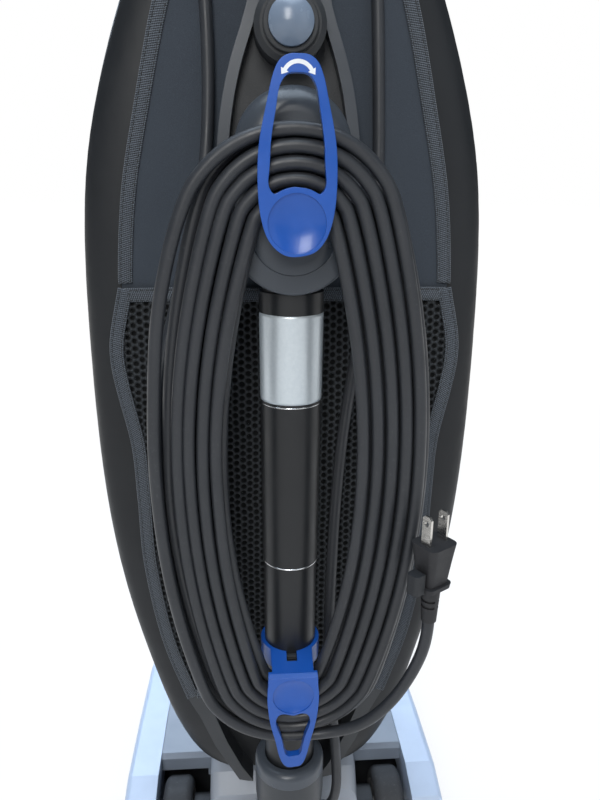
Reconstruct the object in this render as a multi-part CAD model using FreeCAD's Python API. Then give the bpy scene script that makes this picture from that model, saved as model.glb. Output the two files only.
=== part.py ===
import FreeCAD, Part
import math
import os

V = FreeCAD.Vector

# The part is an upright bagged vacuum cleaner, seen in its reference picture from behind.
# Frame: millimetres, +Z up from the floor, the nozzle faces -Y, the back with its cord hooks faces +Y.
# The origin is on the floor, under the middle of the object without its cord.
# Depths are written as "ahead": the distance in front of the axis of the upright duct tube.

# Clearances
TUBE_Y = 135.0
SEAT_GAP = 0.3
FIT_GAP = 0.05
PRESS_GAP = 0.02
SKIN = 3.0

# Duct tube and sleeve
LOWER_TUBE_R = 16.2
LOWER_TUBE_BORE = 13.2
TUBE_SPIGOT_R = 14.7
SLEEVE_BOTTOM_R = 16.8
SLEEVE_TOP_R = 18.0
TUBE_BOTTOM_Z = 146.0
SLEEVE_BOTTOM_Z = 328.0
SPIGOT_LENGTH = 24.0
ELBOW_BOTTOM_Z = 494.5
SLEEVE_NECK_LENGTH = 21.0

# Elbow on the back of the bag housing
ELBOW_HALF_WIDTH = 30.0
ELBOW_ROUNDING = 13.0
ELBOW_LIP_R = 32.5
ELBOW_LIP_THICK = 4.2
ELBOW_LOW_Z = 527.0
ELBOW_TOP_Z = 596.5
ELBOW_REAR_AHEAD = -23.5
ELBOW_BORE = 16.0
OUTLET_R = 20.0
OUTLET_REACH = 13.0
OUTLET_Z = 548.0

# Cord and its winding
CORD_D = 7.0
CORD_R = CORD_D / 2
CORD_GAP = 0.6
ARC_SHARE = 0.45
HOOK_DISC_Z = 532.0
COIL_TURNS_IN = 5
COIL_TOP_Z = 580.5
COIL_BOTTOM_Z = 214.0
COIL_HALF_WIDTH = 74.0
COIL_END_RADIUS = 56.0
COIL_ARM_SHARE = 0.735
COIL_PITCH = CORD_D + CORD_GAP
COIL_MIDDLE_Z = (COIL_TOP_Z + COIL_BOTTOM_Z) / 2
COIL_HALF_HEIGHT = (COIL_TOP_Z - COIL_BOTTOM_Z) / 2
LAYER_LOW_AHEAD = -(LOWER_TUBE_R + SEAT_GAP + CORD_R)
LAYER_TOP_AHEAD = ELBOW_REAR_AHEAD - SEAT_GAP - CORD_R
COIL_TILT = (LAYER_LOW_AHEAD - LAYER_TOP_AHEAD) / (HOOK_DISC_Z - COIL_BOTTOM_Z)

# Upper hook, which turns on a stud of the elbow
HOOK_PLATE = 4.6
HOOK_STUD_R = 4.0
HOOK_HUB_R = 8.6
HOOK_DIMPLE_R = 13.9
LOWER_DIMPLE_R = 12.3
DIMPLE_DEPTH = 3.5
HOOK_LOOP_TOP_Z = 605.0
UPPER_FACE_AHEAD = ELBOW_REAR_AHEAD - 2 * SEAT_GAP - CORD_D - COIL_PITCH - 1.2
UPPER_OUTLINE = ((0.0, 516.6), (8.6, 518.8), (13.8, 524.6), (16.6, 532.0), (18.2, 542.0), (18.6, 553.0),
                 (17.7, 568.0), (13.7, 587.0), (11.0, 597.4), (7.6, 603.0), (3.8, 604.8), (0.0, HOOK_LOOP_TOP_Z))
UPPER_HOLE = ((0.0, 548.6), (4.8, 548.0), (8.6, 546.4), (10.8, 545.6), (12.6, 547.2), (13.2, 555.0), (12.3, 568.0),
              (9.6, 585.0), (7.4, 593.6), (4.0, 597.0), (0.0, 597.4))

# Lower hook, clipped round the tube
LOWER_HOOK_R = 18.7
LOWER_HOOK_TOP_Z = 271.0
LOWER_HOOK_TIP_Z = 200.0
LOWER_DISC_Z = 253.4
LOWER_FACE_AHEAD = LAYER_LOW_AHEAD - COIL_PITCH - CORD_R - 1.3
BRIDGE_Z = 258.0
BRIDGE_SHAPE = ((4.0, 258.4), (6.5, 259.4), (9.0, 261.6), (10.6, 263.8), (11.6, 266.0),
                (12.5, 268.4), (13.2, 271.5))
HOOK_SLOPE = ((-60.0, 258.0), (-39.6, 264.6), (-37.6, 266.8), (-34.0, 268.4), (-14.0, 270.8))
NOTCH_HALF = 3.2
NOTCH_REAR = -24.2
NOTCH_FLOOR = 1.6
LOWER_OUTLINE = ((0.0, LOWER_HOOK_TIP_Z), (4.6, 200.9), (7.4, 205.4), (10.6, 219.0), (13.6, 232.0),
                 (15.4, 246.0), (15.6, 256.0), (15.0, 264.0), (14.2, 270.0), (9.0, 272.6), (0.0, 272.8))
LOWER_HOLE = ((0.0, 208.4), (3.8, 209.2), (5.6, 214.0), (8.2, 226.0), (10.3, 237.0), (8.4, 240.2), (3.6, 240.6),
              (0.0, 239.6))

# Bag housing: an upright board, its outline given as shares of its half width and height
BODY_HALF_WIDTH = 126.5
BODY_BOTTOM_Z = 100.0
BODY_HEIGHT = 672.0
BODY_SHAPE = ((0.27, 0.004), (0.46, 0.020), (0.61, 0.057), (0.70, 0.098), (0.79, 0.157),
              (0.89, 0.237), (0.955, 0.314), (0.995, 0.42), (1.0, 0.53), (0.985, 0.62),
              (0.94, 0.692), (0.845, 0.762), (0.74, 0.818), (0.60, 0.877), (0.41, 0.938), (0.21, 0.982))
RIM_BACK_AHEAD = 47.5
RIM_FRONT_AHEAD = 86.0
COVER_FRONT_AHEAD = 190.0
COVER_GAP = 0.4

# Hinge and snap catch of the front cover
KNUCKLE_R = 3.6
KNUCKLE_LENGTH = 9.0
HINGE_Z = BODY_BOTTOM_Z + BODY_HEIGHT + 4.6
HINGE_AHEAD = RIM_FRONT_AHEAD + 3.5
HINGE_PIN_R = 1.5
LATCH_Z = BODY_BOTTOM_Z - 2.2
LATCH_AHEAD = RIM_FRONT_AHEAD - 8.0
LATCH_PIN_R = 1.2
LATCH_LENGTH = 24.0
LATCH_THICK = 2.4
LATCH_HALF = 13.0

# Dust bag and its dock
BAG_BACK_AHEAD = 72.0
BAG_WALL = 2.0
DOCK_HALF_WIDTH = 42.0
DOCK_HALF_HEIGHT = 46.0
DOCK_PLATE = 5.0
DOCK_RING = 5.0

# Back panel of padded cloth, its pocket, binding and trim
PANEL_THICK = 3.2
POCKET_THICK = 1.7
BINDING_WIDTH = 8.5
BINDING_THICK = 1.5
POCKET_BOTTOM_Z = 188.0
POCKET_TOP_Z = 490.0
PANEL_BACK = RIM_BACK_AHEAD - PANEL_THICK - SEAT_GAP
PANEL_SHAPE = ((71.0, 190.0), (89.0, 262.0), (95.5, 310.0), (97.0, 400.0), (99.5, 480.0), (100.0, 500.0),
               (95.0, 546.0), (85.0, 592.0), (71.2, 646.0), (54.5, 690.0), (37.0, 720.0), (18.0, 738.0))
PANEL_TOP_Z = 744.0
POCKET_SHAPE = ((72.0, POCKET_BOTTOM_Z), (87.5, 240.0), (96.5, 300.0), (98.0, 350.0), (99.5, 388.0),
                (106.0, 424.0), (108.6, 444.0), (107.6, 461.0), (101.0, POCKET_TOP_Z))
RECESS_TOP_Z = 187.4
RECESS_AHEAD = 62.0
TRIM_OUTER = ((74.4, 187.0), (64.4, 166.0), (54.0, 138.4), (36.0, 104.0), (33.0, 96.0))
TRIM_INNER = ((58.0, 187.0), (54.4, 170.0), (44.9, 141.7), (34.0, 117.0), (26.0, 104.0), (24.0, 96.0))

# Spine with its rails, handle socket and cord glands
PLATE_FRONT = PANEL_BACK - SEAT_GAP
SPINE_PLATE = 7.5
RAIL_WIDTH = 6.5
RAIL_HEIGHT = 9.0
RAIL_PATH = ((37.5, 540.0), (36.0, 577.0), (28.3, 614.0), (18.7, 643.0), (15.5, 685.0), (15.0, 752.0))
HANDLE_AHEAD = 31.5
HANDLE_TUBE_R = 11.0
HANDLE_TUBE_WALL = 1.5
HANDLE_BOTTOM_Z = 614.0
SOCKET_R = 14.0
SOCKET_TOP_Z = 762.0
BOSS_REAR_AHEAD = 12.0
BOSS_HALF_WIDTH = 19.0
GLAND_X = 16.5
GLAND_Z = 741.0
GLAND_R = 6.5
GLAND_DIRECTION = (0.58, 0.12, -0.80)

# Release button
BUTTON_Z = 629.0
BUTTON_R = 11.7
BUTTON_TRAVEL = 4.0
BUTTON_DOME = 4.5
BUTTON_CAP = 4.0
BUTTON_PROUD = 2.4
CHAMBER_DEPTH = 6.2
PLUNGER_R = 2.6
PLUNGER_LENGTH = 12.0
RING_R = 14.5
RING_HEIGHT = 3.0
SPRING_R = 7.0
SPRING_WIRE = 0.9
SPRING_TURNS = 2.5

# Grip and its switch
GRIP_Z = 992.0
GRIP_HALF = 12.5
FERRULE_R = 14.5
FERRULE_DEPTH = 24.0
GRIP_OUTER = ((17, 992), (44, 994), (46, 1020), (45, 1075), (34, 1112), (6, 1130), (-24, 1116),
              (-37, 1082), (-30, 1040), (-10, 1008))
GRIP_INNER = ((19, 1018), (22, 1040), (22, 1074), (14, 1096), (2, 1105), (-9, 1098), (-14, 1080),
              (-10, 1050), (4, 1026))
PAD_THICK = 1.6
PAD_LOW_Z = 1046.0
PAD_TOP_Z = 1121.0
SWITCH_HALF = 5.0
SWITCH_AHEAD = 46.0
SWITCH_DEPTH = 7.0
SWITCH_Z = 1034.0
SWITCH_HALF_HEIGHT = 9.0
SWITCH_PIVOT_AHEAD = SWITCH_AHEAD - 4.0
SWITCH_PIN_R = 1.4
SWITCH_PIN = 2.0

# Screws of the spine plate and of the dock
SCREW_HEAD_R = 2.6
SCREW_HEAD = 1.8
SCREW_SHANK_R = 1.5
SCREW_BITE = 5.0
SPINE_SCREW = (22.5, 604.0)
DOCK_SCREW = (34.0, 38.0)

# Floor head
HEAD_HALF_WIDTH = 131.5
HEAD_REAR_AHEAD = 40.0
HEAD_FRONT_AHEAD = 318.0
HEAD_CORNER_R = 30.0
ARM_WIDTH = 26.0
ARM_GAP = 0.15
CHASSIS_INSET = 5.0
CHASSIS_REAR_AHEAD = 112.0
WINDOW_AHEAD = 182.0
FLOOR_LOW_Z = 8.0
FLOOR_TOP_Z = 12.0
CHASSIS_TOP_Z = 42.0
BUMPER_THICK = 2.5
BUMPER_LOW_Z = 24.0
BUMPER_TOP_Z = 33.0
DECK_REAR_AHEAD = 104.0
DECK_REAR_Z = 73.0
MOTOR_COVER_HALF = 62.0
MOTOR_COVER_REAR = 68.0
MOTOR_COVER_FRONT = 252.0
MOTOR_COVER_TOP_Z = 89.0
MOTOR_COVER_LOW_Z = 51.0

# Wheels, rollers and their axles
WHEEL_R = 33.0
WHEEL_WIDTH = 24.0
WHEEL_X = HEAD_HALF_WIDTH - ARM_WIDTH - 4.5 - WHEEL_WIDTH / 2
WHEEL_AHEAD = 77.0
WHEEL_HUB_R = 23.0
WHEEL_DISH = 5.0
AXLE_R = 5.0
BEAM_HALF = WHEEL_X - WHEEL_WIDTH / 2 - 1.0
AXLE_IN_X = BEAM_HALF - 30.0
ROLLER_R = 8.0
ROLLER_HALF = 7.7
ROLLER_X = HEAD_HALF_WIDTH - 36.5
ROLLER_AHEAD = 236.0
ROLLER_PIN_R = 2.0

# Brush, motor and belt
BRUSH_AHEAD = 283.0
BRUSH_Z = 27.0
BRUSH_CORE_R = 12.0
BRUSH_TIP_R = 20.5
BRUSH_HALF = HEAD_HALF_WIDTH - 27.5
BRUSH_SHAFT_R = 4.0
BRUSH_SHAFT_REACH = 7.0
TUNNEL_R = 23.0
TUNNEL_HALF = HEAD_HALF_WIDTH - 18.5
BEARING_R = 9.0
TUFT_R = 2.4
TUFTS = 16
MOTOR_AHEAD = 180.0
MOTOR_Z = 56.0
MOTOR_R = 24.0
MOTOR_HALF = 42.0
FAN_X = 48.0
PULLEY_X = 39.5 - HEAD_HALF_WIDTH
PULLEY_R = 8.0
BELT_WIDTH = 7.0
BELT_THICK = 2.0
DUCT_HALF = 20.0
DUCT_WALL = 2.0
DUCT_LOW_Z = 13.0
DUCT_HIGH_Z = 29.0

# Neck, its tilt pivot and its steering swivel
PIVOT_AHEAD = 44.0
PIVOT_Z = 40.0
BARREL_R = 16.0
BARREL_HALF = 27.0
PIN_R = 6.0
PIN_IN_X = 19.0
LUG_IN = 28.0
LUG_OUT = 42.0
SHOULDER_LOW_Z = 54.0
SHOULDER_TOP_Z = 60.0
SWIVEL_R = 17.0
SWIVEL_DEPTH = 12.0
NECK_R = 22.0
NECK_HEAD_R = 23.5
NECK_TOP_Z = 166.0
NECK_BORE = 14.0
NECK_BEND = 14.0
NECK_HEAD = 26.0
COLLAR_R = 23.5
COLLAR_HEIGHT = 11.0
STAY_HALF = 11.0
STAY_LOW_Z = 146.0
STAY_TOP_Z = 158.0

# Lead from the handle to the motor: (side, ahead, height) of its route's points
LEAD_D = 7.0
GROMMET = (-27.0, 15.0, 106.0)
GROMMET_DIRECTION = (0.39, 0.50, -0.77)
GROMMET_R = 5.6
HARNESS_POINTS = ((-36.5, 35.8, 711.0), (-43.5, 37.4, 692.0), (-47.3, 38.2, 667.0), (-49.4, 38.5, 636.0),
                  (-51.3, 38.3, 600.0), (-52.8, 37.6, 562.0), (-51.8, 36.0, 526.0), (-47.5, 33.5, 484.0),
                  (-40.5, 30.5, 440.0), (-34.0, 26.0, 396.0), (-30.0, 20.0, 352.0), (-28.0, 15.0, 308.0),
                  (-26.5, 11.0, 264.0), (-28.0, 8.5, 222.0), (-31.5, 7.0, 186.0), (-34.0, 5.8, 156.0),
                  (-34.6, 6.0, 132.0))
CLIP_PLACES = ((-51.0, 35.2, 516.0),)

# Cord from its relief to the winding, and from the winding to the plug
RELIEF_R = 5.2
RELIEF_TIP_R = 4.3
RELIEF_SLEEVE = 8.0
RELIEF_LENGTH = 26.0
CORD_LEAD_POINTS = ((46.0, 38.0, 688.0), (45.6, 38.9, 664.0), (44.0, 39.3, 628.0), (44.4, 38.8, 590.0),
                    (48.0, 35.0, 552.0), (55.5, 23.0, 516.0), (64.5, 5.0, 484.0), (71.0, -10.5, 456.0))
CORD_TAIL_POINTS = ((-43.0, -33.5, 226.0), (-60.0, -37.5, 246.0), (-71.0, -42.5, 272.0))
PLUG_PLACE = (-77.0, -46.5, 312.0)
PLUG_TURN = 32.0
PLUG_RELIEF = 22.0
PLUG_LENGTH = 50.0
BLADE_SPREAD = 12.7
BLADE_LENGTH = 17.4


def at(x, ahead, up):
    """A point by its side, its distance in front of the duct tube's axis and its height."""
    return V(x, TUBE_Y - ahead, up)


UP = V(0, 0, 1)
SIDE = V(1, 0, 0)
FORE = V(0, -1, 0)
BACK = V(0, 1, 0)


def cyl(radius, length, base, direction):
    return Part.makeCylinder(radius, length, base, direction)


def block(x0, x1, near, far, z0, z1):
    """A box between two sides, two depths ahead of the tube and two heights."""
    return Part.makeBox(x1 - x0, far - near, z1 - z0, at(x0, far, z0))


def polygon(points):
    return Part.makePolygon(list(points) + [points[0]])


def prism_back(outline, near, far):
    """A plate from an outline of (side, height) points, between two depths."""
    wire = polygon([at(x, near, z) for x, z in outline])
    return Part.Face(wire).extrude(FORE * (far - near))


def prism_side(profile, x0, x1):
    """A bar from a side profile of (ahead, height) points, between two sides."""
    wire = polygon([at(x0, n, z) for n, z in profile])
    return Part.Face(wire).extrude(SIDE * (x1 - x0))


def mirrored(shape):
    return shape.mirror(V(0, 0, 0), SIDE)


def group(solids):
    return Part.makeCompound(solids)


def smooth_closed(points):
    curve = Part.BSplineCurve()
    curve.interpolate(Points=points, PeriodicFlag=True)
    return Part.Wire(curve.toShape())


def body_outline(inset, ahead):
    """The housing's outline at one depth, drawn in by an inset on every side."""
    half = BODY_HALF_WIDTH - inset
    height = BODY_HEIGHT - 2 * inset
    bottom = BODY_BOTTOM_Z + inset
    right = [at(half * sx, ahead, bottom + height * sz) for sx, sz in BODY_SHAPE]
    left = [V(-p.x, p.y, p.z) for p in reversed(right)]
    top = at(0, ahead, bottom + height)
    low = at(0, ahead, bottom)
    return smooth_closed([low] + right + [top] + left)


def body_loft(sections):
    return Part.makeLoft([body_outline(inset, ahead) for inset, ahead in sections], True, False)


def curved_plate(half_outline, top_z, near, far, closed_top):
    """A symmetric plate whose sides are smooth curves through the half outline's points."""
    right = Part.BSplineCurve()
    points = [at(x, near, z) for x, z in half_outline]
    if closed_top:
        points.append(at(0, near, top_z))
        right.interpolate(Points=points, InitialTangent=V(0.3, 0, 1), FinalTangent=V(-1, 0, 0))
    else:
        right.interpolate(points)
    edge = right.toShape()
    other = edge.mirror(V(0, 0, 0), SIDE)
    low = Part.LineSegment(V(-points[0].x, points[0].y, points[0].z), points[0]).toShape()
    edges = [edge, other, low]
    if not closed_top:
        edges.append(Part.LineSegment(V(-points[-1].x, points[-1].y, points[-1].z), points[-1]).toShape())
    wire = Part.Wire(Part.__sortEdges__(edges))
    return Part.Face(wire).extrude(FORE * (far - near))


def export(name, shape):
    solids = shape.Solids
    if len(solids) == 1:
        shape = solids[0]
    else:
        shape = Part.makeCompound(solids)
    shape.exportStep("parts/" + name + ".step")
    print("%-18s solids %2d volume %9.0f valid %s" % (name, len(solids), shape.Volume, shape.isValid()))


# Cords: straight runs joined by tangent arcs, and the winding as one spiral of biarcs


def route_wire(points):
    """Runs and arcs along a route, and the radii of its arcs."""
    edges = []
    radii = []
    last = points[0]
    for before, corner, after in zip(points, points[1:], points[2:]):
        run_in = corner - before
        run_out = after - corner
        turn = run_in.getAngle(run_out)
        reach = ARC_SHARE * min(run_in.Length, run_out.Length)
        start = corner - V(run_in).normalize() * reach
        end = corner + V(run_out).normalize() * reach
        inward = (V(run_out).normalize() - V(run_in).normalize()).normalize()
        radius = reach / math.tan(turn / 2)
        middle = corner + inward * (math.hypot(radius, reach) - radius)
        radii.append(radius)
        edges.append(Part.LineSegment(last, start).toShape())
        edges.append(Part.Arc(start, middle, end).toShape())
        last = end
    edges.append(Part.LineSegment(last, points[-1]).toShape())
    return Part.Wire(edges), radii


def pipe(wire, radius, start, direction):
    ring = Part.Wire(Part.Circle(start, direction, radius).toShape())
    shell = Part.BRepOffsetAPI.MakePipeShell(wire)
    shell.add(ring)
    shell.build()
    shell.makeSolid()
    return shell.shape()


def route_tube(name, points, diameter):
    wire, radii = route_wire(points)
    tube = pipe(wire, diameter / 2, points[0], points[1] - points[0])
    ideal = math.pi * diameter ** 2 / 4 * wire.Length
    print("%s: length %.0f, smallest radius %.1f, radii %s, volume share %.4f"
          % (name, wire.Length, min(radii), [round(r) for r in radii], tube.Volume / ideal))
    return tube


def biarc(p0, t0, p1, t1, arm1):
    """Two tangent arcs from p0 along t0 to p1 along t1, the second with a control arm of arm1."""
    span = p1 - p0
    arm0 = (span.dot(span) / 2 - arm1 * span.dot(t1)) / (span.dot(t0) + arm1 * (1 - t0.dot(t1)))
    a = p0 + t0 * arm0
    b = p1 - t1 * arm1
    joint = a + (b - a) * (arm0 / (arm0 + arm1))
    return [tangent_arc(p0, a, joint), tangent_arc(joint, b, p1)]


def tangent_arc(start, corner, end):
    """The arc that leaves start towards the corner and reaches end from it."""
    chord = end - start
    middle = start + chord * 0.5
    height = corner - middle
    half = chord.Length / 2
    leg = (corner - start).Length
    rise = half * (leg - half) / height.Length
    return Part.Arc(start, middle + V(height).normalize() * rise, end).toShape()


def coil_place(x, height, layer):
    """A point of the winding from its side, its height above the middle and its layer."""
    ahead = LAYER_LOW_AHEAD - COIL_TILT * (height + COIL_MIDDLE_Z - COIL_BOTTOM_Z)
    return at(x, ahead - layer * COIL_PITCH, COIL_MIDDLE_Z + height)


def coil_quadrant(quarter, inset, layer):
    """The winding's point and direction at a quarter: 0 left, 1 bottom, 2 right, 3 top."""
    half_x = COIL_HALF_WIDTH - inset
    half_z = COIL_HALF_HEIGHT - inset
    side, height = ((half_x, 0), (0, -half_z), (-half_x, 0), (0, half_z))[quarter % 4]
    step_x, step_z = ((0, -1), (-1, 0), (0, 1), (1, 0))[quarter % 4]
    point = coil_place(side, height, layer)
    ahead = coil_place(side + step_x, height + step_z, layer)
    return point, (ahead - point).normalize()


def coil_plan():
    """For each quarter of a turn, its index, its inset and its layer."""
    plan = []
    inset = 0.0
    quarter = 0
    for step in range(4 * COIL_TURNS_IN + 1):
        plan.append((quarter, inset, 0.0))
        quarter += 1
        inset += COIL_PITCH / 4
    plan.append((quarter, inset, 0.5))
    for step in range(4 * COIL_TURNS_IN):
        quarter += 1
        inset -= COIL_PITCH / 4
        plan.append((quarter, inset, 1.0))
    return plan


def coil_wire():
    plan = coil_plan()
    marks = []
    for index, (quarter, inset, layer) in enumerate(plan):
        point, direction = coil_quadrant(quarter, inset, layer)
        if 0 < layer < 1:
            before = coil_quadrant(*plan[index - 1])[0]
            after = coil_quadrant(*plan[index + 1])[0]
            climb = (after - before).dot(BACK) / (math.pi / 2 * (after - before).Length)
            direction = (direction + BACK * climb).normalize()
        marks.append((point, direction, quarter, inset))
    edges = []
    for (p0, t0, quarter, inset), (p1, t1, next_quarter, next_inset) in zip(marks, marks[1:]):
        radius = COIL_END_RADIUS - (inset + next_inset) / 2
        arm = radius * COIL_ARM_SHARE
        if next_quarter % 2:
            edges += biarc(p0, t0, p1, t1, arm)
        else:
            turned = biarc(p1, t1 * -1, p0, t0 * -1, arm)
            edges += [flipped(turned[1]), flipped(turned[0])]
    return Part.Wire(edges), marks


def flipped(edge):
    curve = edge.Curve
    first, last = edge.ParameterRange
    middle = curve.value((first + last) / 2)
    return Part.Arc(curve.value(last), middle, curve.value(first)).toShape()


def least_gap(points, lengths, skip):
    """The smallest gap of a winding to itself, between points further apart than skip along it."""
    best = 1e9
    cells = {}
    size = 12.0
    for index, p in enumerate(points):
        key = (int(p.x // size), int(p.y // size), int(p.z // size))
        cells.setdefault(key, []).append(index)
    for (a, b, c), members in cells.items():
        near = []
        for da in (-1, 0, 1):
            for db in (-1, 0, 1):
                for dc in (-1, 0, 1):
                    near += cells.get((a + da, b + db, c + dc), [])
        for i in members:
            for j in near:
                if lengths[j] - lengths[i] > skip:
                    best = min(best, (points[i] - points[j]).Length)
    return best - CORD_D


def make_winding():
    wire, marks = coil_wire()
    start = marks[0][0]
    solid = pipe(wire, CORD_R, start, marks[0][1])
    points = []
    lengths = []
    walked = 0.0
    for edge in wire.Edges:
        count = max(2, int(edge.Length / 2.0))
        for k in range(count):
            points.append(edge.valueAt(edge.FirstParameter
                                       + (edge.LastParameter - edge.FirstParameter) * k / count))
            lengths.append(walked + edge.Length * k / count)
        walked += edge.Length
    print("winding: length %.0f, least gap to itself %.2f, volume share %.4f"
          % (wire.Length, least_gap(points, lengths, 12 * CORD_D),
             solid.Volume / (math.pi * CORD_R ** 2 * wire.Length)))
    return solid


# Duct tube, sleeve, neck and yoke

def make_lower_tube():
    wide = cyl(LOWER_TUBE_R, SLEEVE_BOTTOM_Z - 0.5 - TUBE_BOTTOM_Z, at(0, 0, TUBE_BOTTOM_Z), UP)
    spigot = cyl(TUBE_SPIGOT_R, SPIGOT_LENGTH, at(0, 0, SLEEVE_BOTTOM_Z - 0.6), UP)
    bore = cyl(LOWER_TUBE_BORE, 400, at(0, 0, TUBE_BOTTOM_Z - 1), UP)
    return wide.fuse(spigot).cut(bore)


def make_upper_sleeve():
    height = ELBOW_BOTTOM_Z - SLEEVE_BOTTOM_Z
    skin = Part.makeCone(SLEEVE_BOTTOM_R, SLEEVE_TOP_R, height, at(0, 0, SLEEVE_BOTTOM_Z), UP)
    neck = cyl(ELBOW_BORE - FIT_GAP, SLEEVE_NECK_LENGTH + 1, at(0, 0, ELBOW_BOTTOM_Z - 1), UP)
    bore = cyl(TUBE_SPIGOT_R + FIT_GAP, height + 30, at(0, 0, SLEEVE_BOTTOM_Z - 1), UP)
    return skin.fuse(neck).cut(bore)


def neck_path(inset_low, rise):
    """The neck's centre line: up from the swivel, back in two bends, and up to the tube."""
    low = SHOULDER_TOP_Z + SEAT_GAP
    straight = low + NECK_BEND
    top_bend = NECK_TOP_Z - NECK_HEAD
    half_h = (top_bend - straight) / 2
    half_n = PIVOT_AHEAD / 2
    angle = 2 * math.atan(half_n / half_h)
    radius = half_h / math.sin(angle)
    mid = at(0, half_n, straight + half_h)
    sag_n = radius * (1 - math.cos(angle / 2))
    sag_h = radius * math.sin(angle / 2)
    first = Part.Arc(at(0, PIVOT_AHEAD, straight),
                     at(0, PIVOT_AHEAD - sag_n, straight + sag_h), mid).toShape()
    second = Part.Arc(mid, at(0, sag_n, top_bend - sag_h), at(0, 0, top_bend)).toShape()
    bottom = at(0, PIVOT_AHEAD, low - inset_low)
    top = at(0, 0, NECK_TOP_Z + rise)
    return Part.Wire([Part.LineSegment(bottom, at(0, PIVOT_AHEAD, straight)).toShape(), first, second,
                      Part.LineSegment(at(0, 0, top_bend), top).toShape()]), bottom


def make_neck():
    """The bent neck with its swivel socket, the stay of the housing and the boss for the motor lead."""
    path, bottom = neck_path(0, TUBE_BOTTOM_Z - NECK_TOP_Z)
    skin = pipe(path, NECK_R, bottom, UP)
    head = Part.makeCone(NECK_R, NECK_HEAD_R, 14, at(0, 0, NECK_TOP_Z - 34), UP)
    head = head.fuse(cyl(NECK_HEAD_R, 20, at(0, 0, NECK_TOP_Z - 20), UP))
    stay = block(-STAY_HALF, STAY_HALF, 10, RECESS_AHEAD - FIT_GAP, STAY_LOW_Z, STAY_TOP_Z)
    boss = cyl(GROMMET_R, 25, at(*GROMMET), route_way(GROMMET_DIRECTION))
    body = skin.fuse([head, stay, boss])
    air, start = neck_path(1, TUBE_BOTTOM_Z - NECK_TOP_Z + 1)
    body = body.cut(pipe(air, NECK_BORE, start, UP))
    socket = cyl(LOWER_TUBE_R + FIT_GAP, 40, at(0, 0, TUBE_BOTTOM_Z), UP)
    swivel = cyl(SWIVEL_R + FIT_GAP, SWIVEL_DEPTH + 1.3, at(0, PIVOT_AHEAD, SHOULDER_TOP_Z - 1), UP)
    lead_hole = cyl(LEAD_D / 2, LEAD_D, at(*GROMMET), route_way(GROMMET_DIRECTION))
    return body.cut(socket).cut(swivel).cut(lead_hole)


def make_neck_collar():
    base = at(0, 0, NECK_TOP_Z)
    ring = cyl(COLLAR_R, COLLAR_HEIGHT, base, UP)
    ring = ring.makeFillet(4.6, [e for e in ring.Edges if e.BoundBox.ZMin > NECK_TOP_Z + 1])
    inner = cyl(LOWER_TUBE_R + FIT_GAP, COLLAR_HEIGHT + 2, base - UP, UP)
    throat = Part.makeCone(LOWER_TUBE_R + FIT_GAP, LOWER_TUBE_R + 0.7, 2.0,
                           at(0, 0, NECK_TOP_Z + COLLAR_HEIGHT - 1.9), UP)
    return ring.cut(inner).cut(throat)


def make_neck_yoke():
    """The barrel that tilts between the chassis lugs, with the spigot that the neck swivels on."""
    pivot = at(0, PIVOT_AHEAD, PIVOT_Z)
    barrel = cyl(BARREL_R, 2 * BARREL_HALF, pivot - SIDE * BARREL_HALF, SIDE)
    shoulder = cyl(NECK_R, SHOULDER_TOP_Z - SHOULDER_LOW_Z, at(0, PIVOT_AHEAD, SHOULDER_LOW_Z), UP)
    spigot_low = PIVOT_Z + 10
    spigot = cyl(SWIVEL_R, SHOULDER_TOP_Z + SWIVEL_DEPTH - spigot_low, at(0, PIVOT_AHEAD, spigot_low), UP)
    air_up = cyl(NECK_BORE - 1, 60, at(0, PIVOT_AHEAD, PIVOT_Z), UP)
    air_in = cyl(BARREL_R / 2 - 1, 40, pivot, FORE)
    body = barrel.fuse([shoulder, spigot])
    body = body.cut(air_up).cut(air_in)
    bore = cyl(PIN_R + PRESS_GAP, BARREL_HALF, pivot + SIDE * PIN_IN_X, SIDE)
    return body.cut(bore).cut(mirrored(bore))


def make_tilt_pins():
    """Two stub pins pressed into the barrel, which turn in the chassis lugs."""
    pivot = at(0, PIVOT_AHEAD, PIVOT_Z)
    pin = cyl(PIN_R, LUG_OUT - PIN_IN_X, pivot + SIDE * PIN_IN_X, SIDE)
    return group([pin, mirrored(pin)])


# Hooks, their stud and catch

def loop_plate(points, hole, near, thick):
    """A flat hook plate from smooth half outlines of the outside and the hole."""
    outer = prism_round(points, near, thick)
    inner = prism_round(hole, near - 1, thick + 2)
    return outer.cut(inner)


def prism_round(points, near, thick):
    right = [at(x, near, z) for x, z in points]
    left = [V(-p.x, p.y, p.z) for p in reversed(right) if abs(p.x) > 1e-6]
    return Part.Face(smooth_closed(right + left)).extrude(FORE * thick)


def dish(radius, near, z):
    """What a thumb dish takes out of a hook's face: a short straight wall and a round floor."""
    wall = near + 0.8
    floor = near + DIMPLE_DEPTH
    flat = radius * 0.2
    middle = at(radius * 0.62, wall + (floor - wall) * 0.72, z)
    bowl = Part.Arc(at(radius, wall, z), middle, at(flat, floor, z)).toShape()
    sides = Part.makePolygon([at(flat, floor, z), at(0, floor, z), at(0, near - 1, z), at(radius, near - 1, z),
                              at(radius, wall, z)])
    half = Part.Face(Part.Wire(Part.__sortEdges__(list(sides.Edges) + [bowl])))
    return half.revolve(at(0, near, z), FORE, 360)


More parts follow.
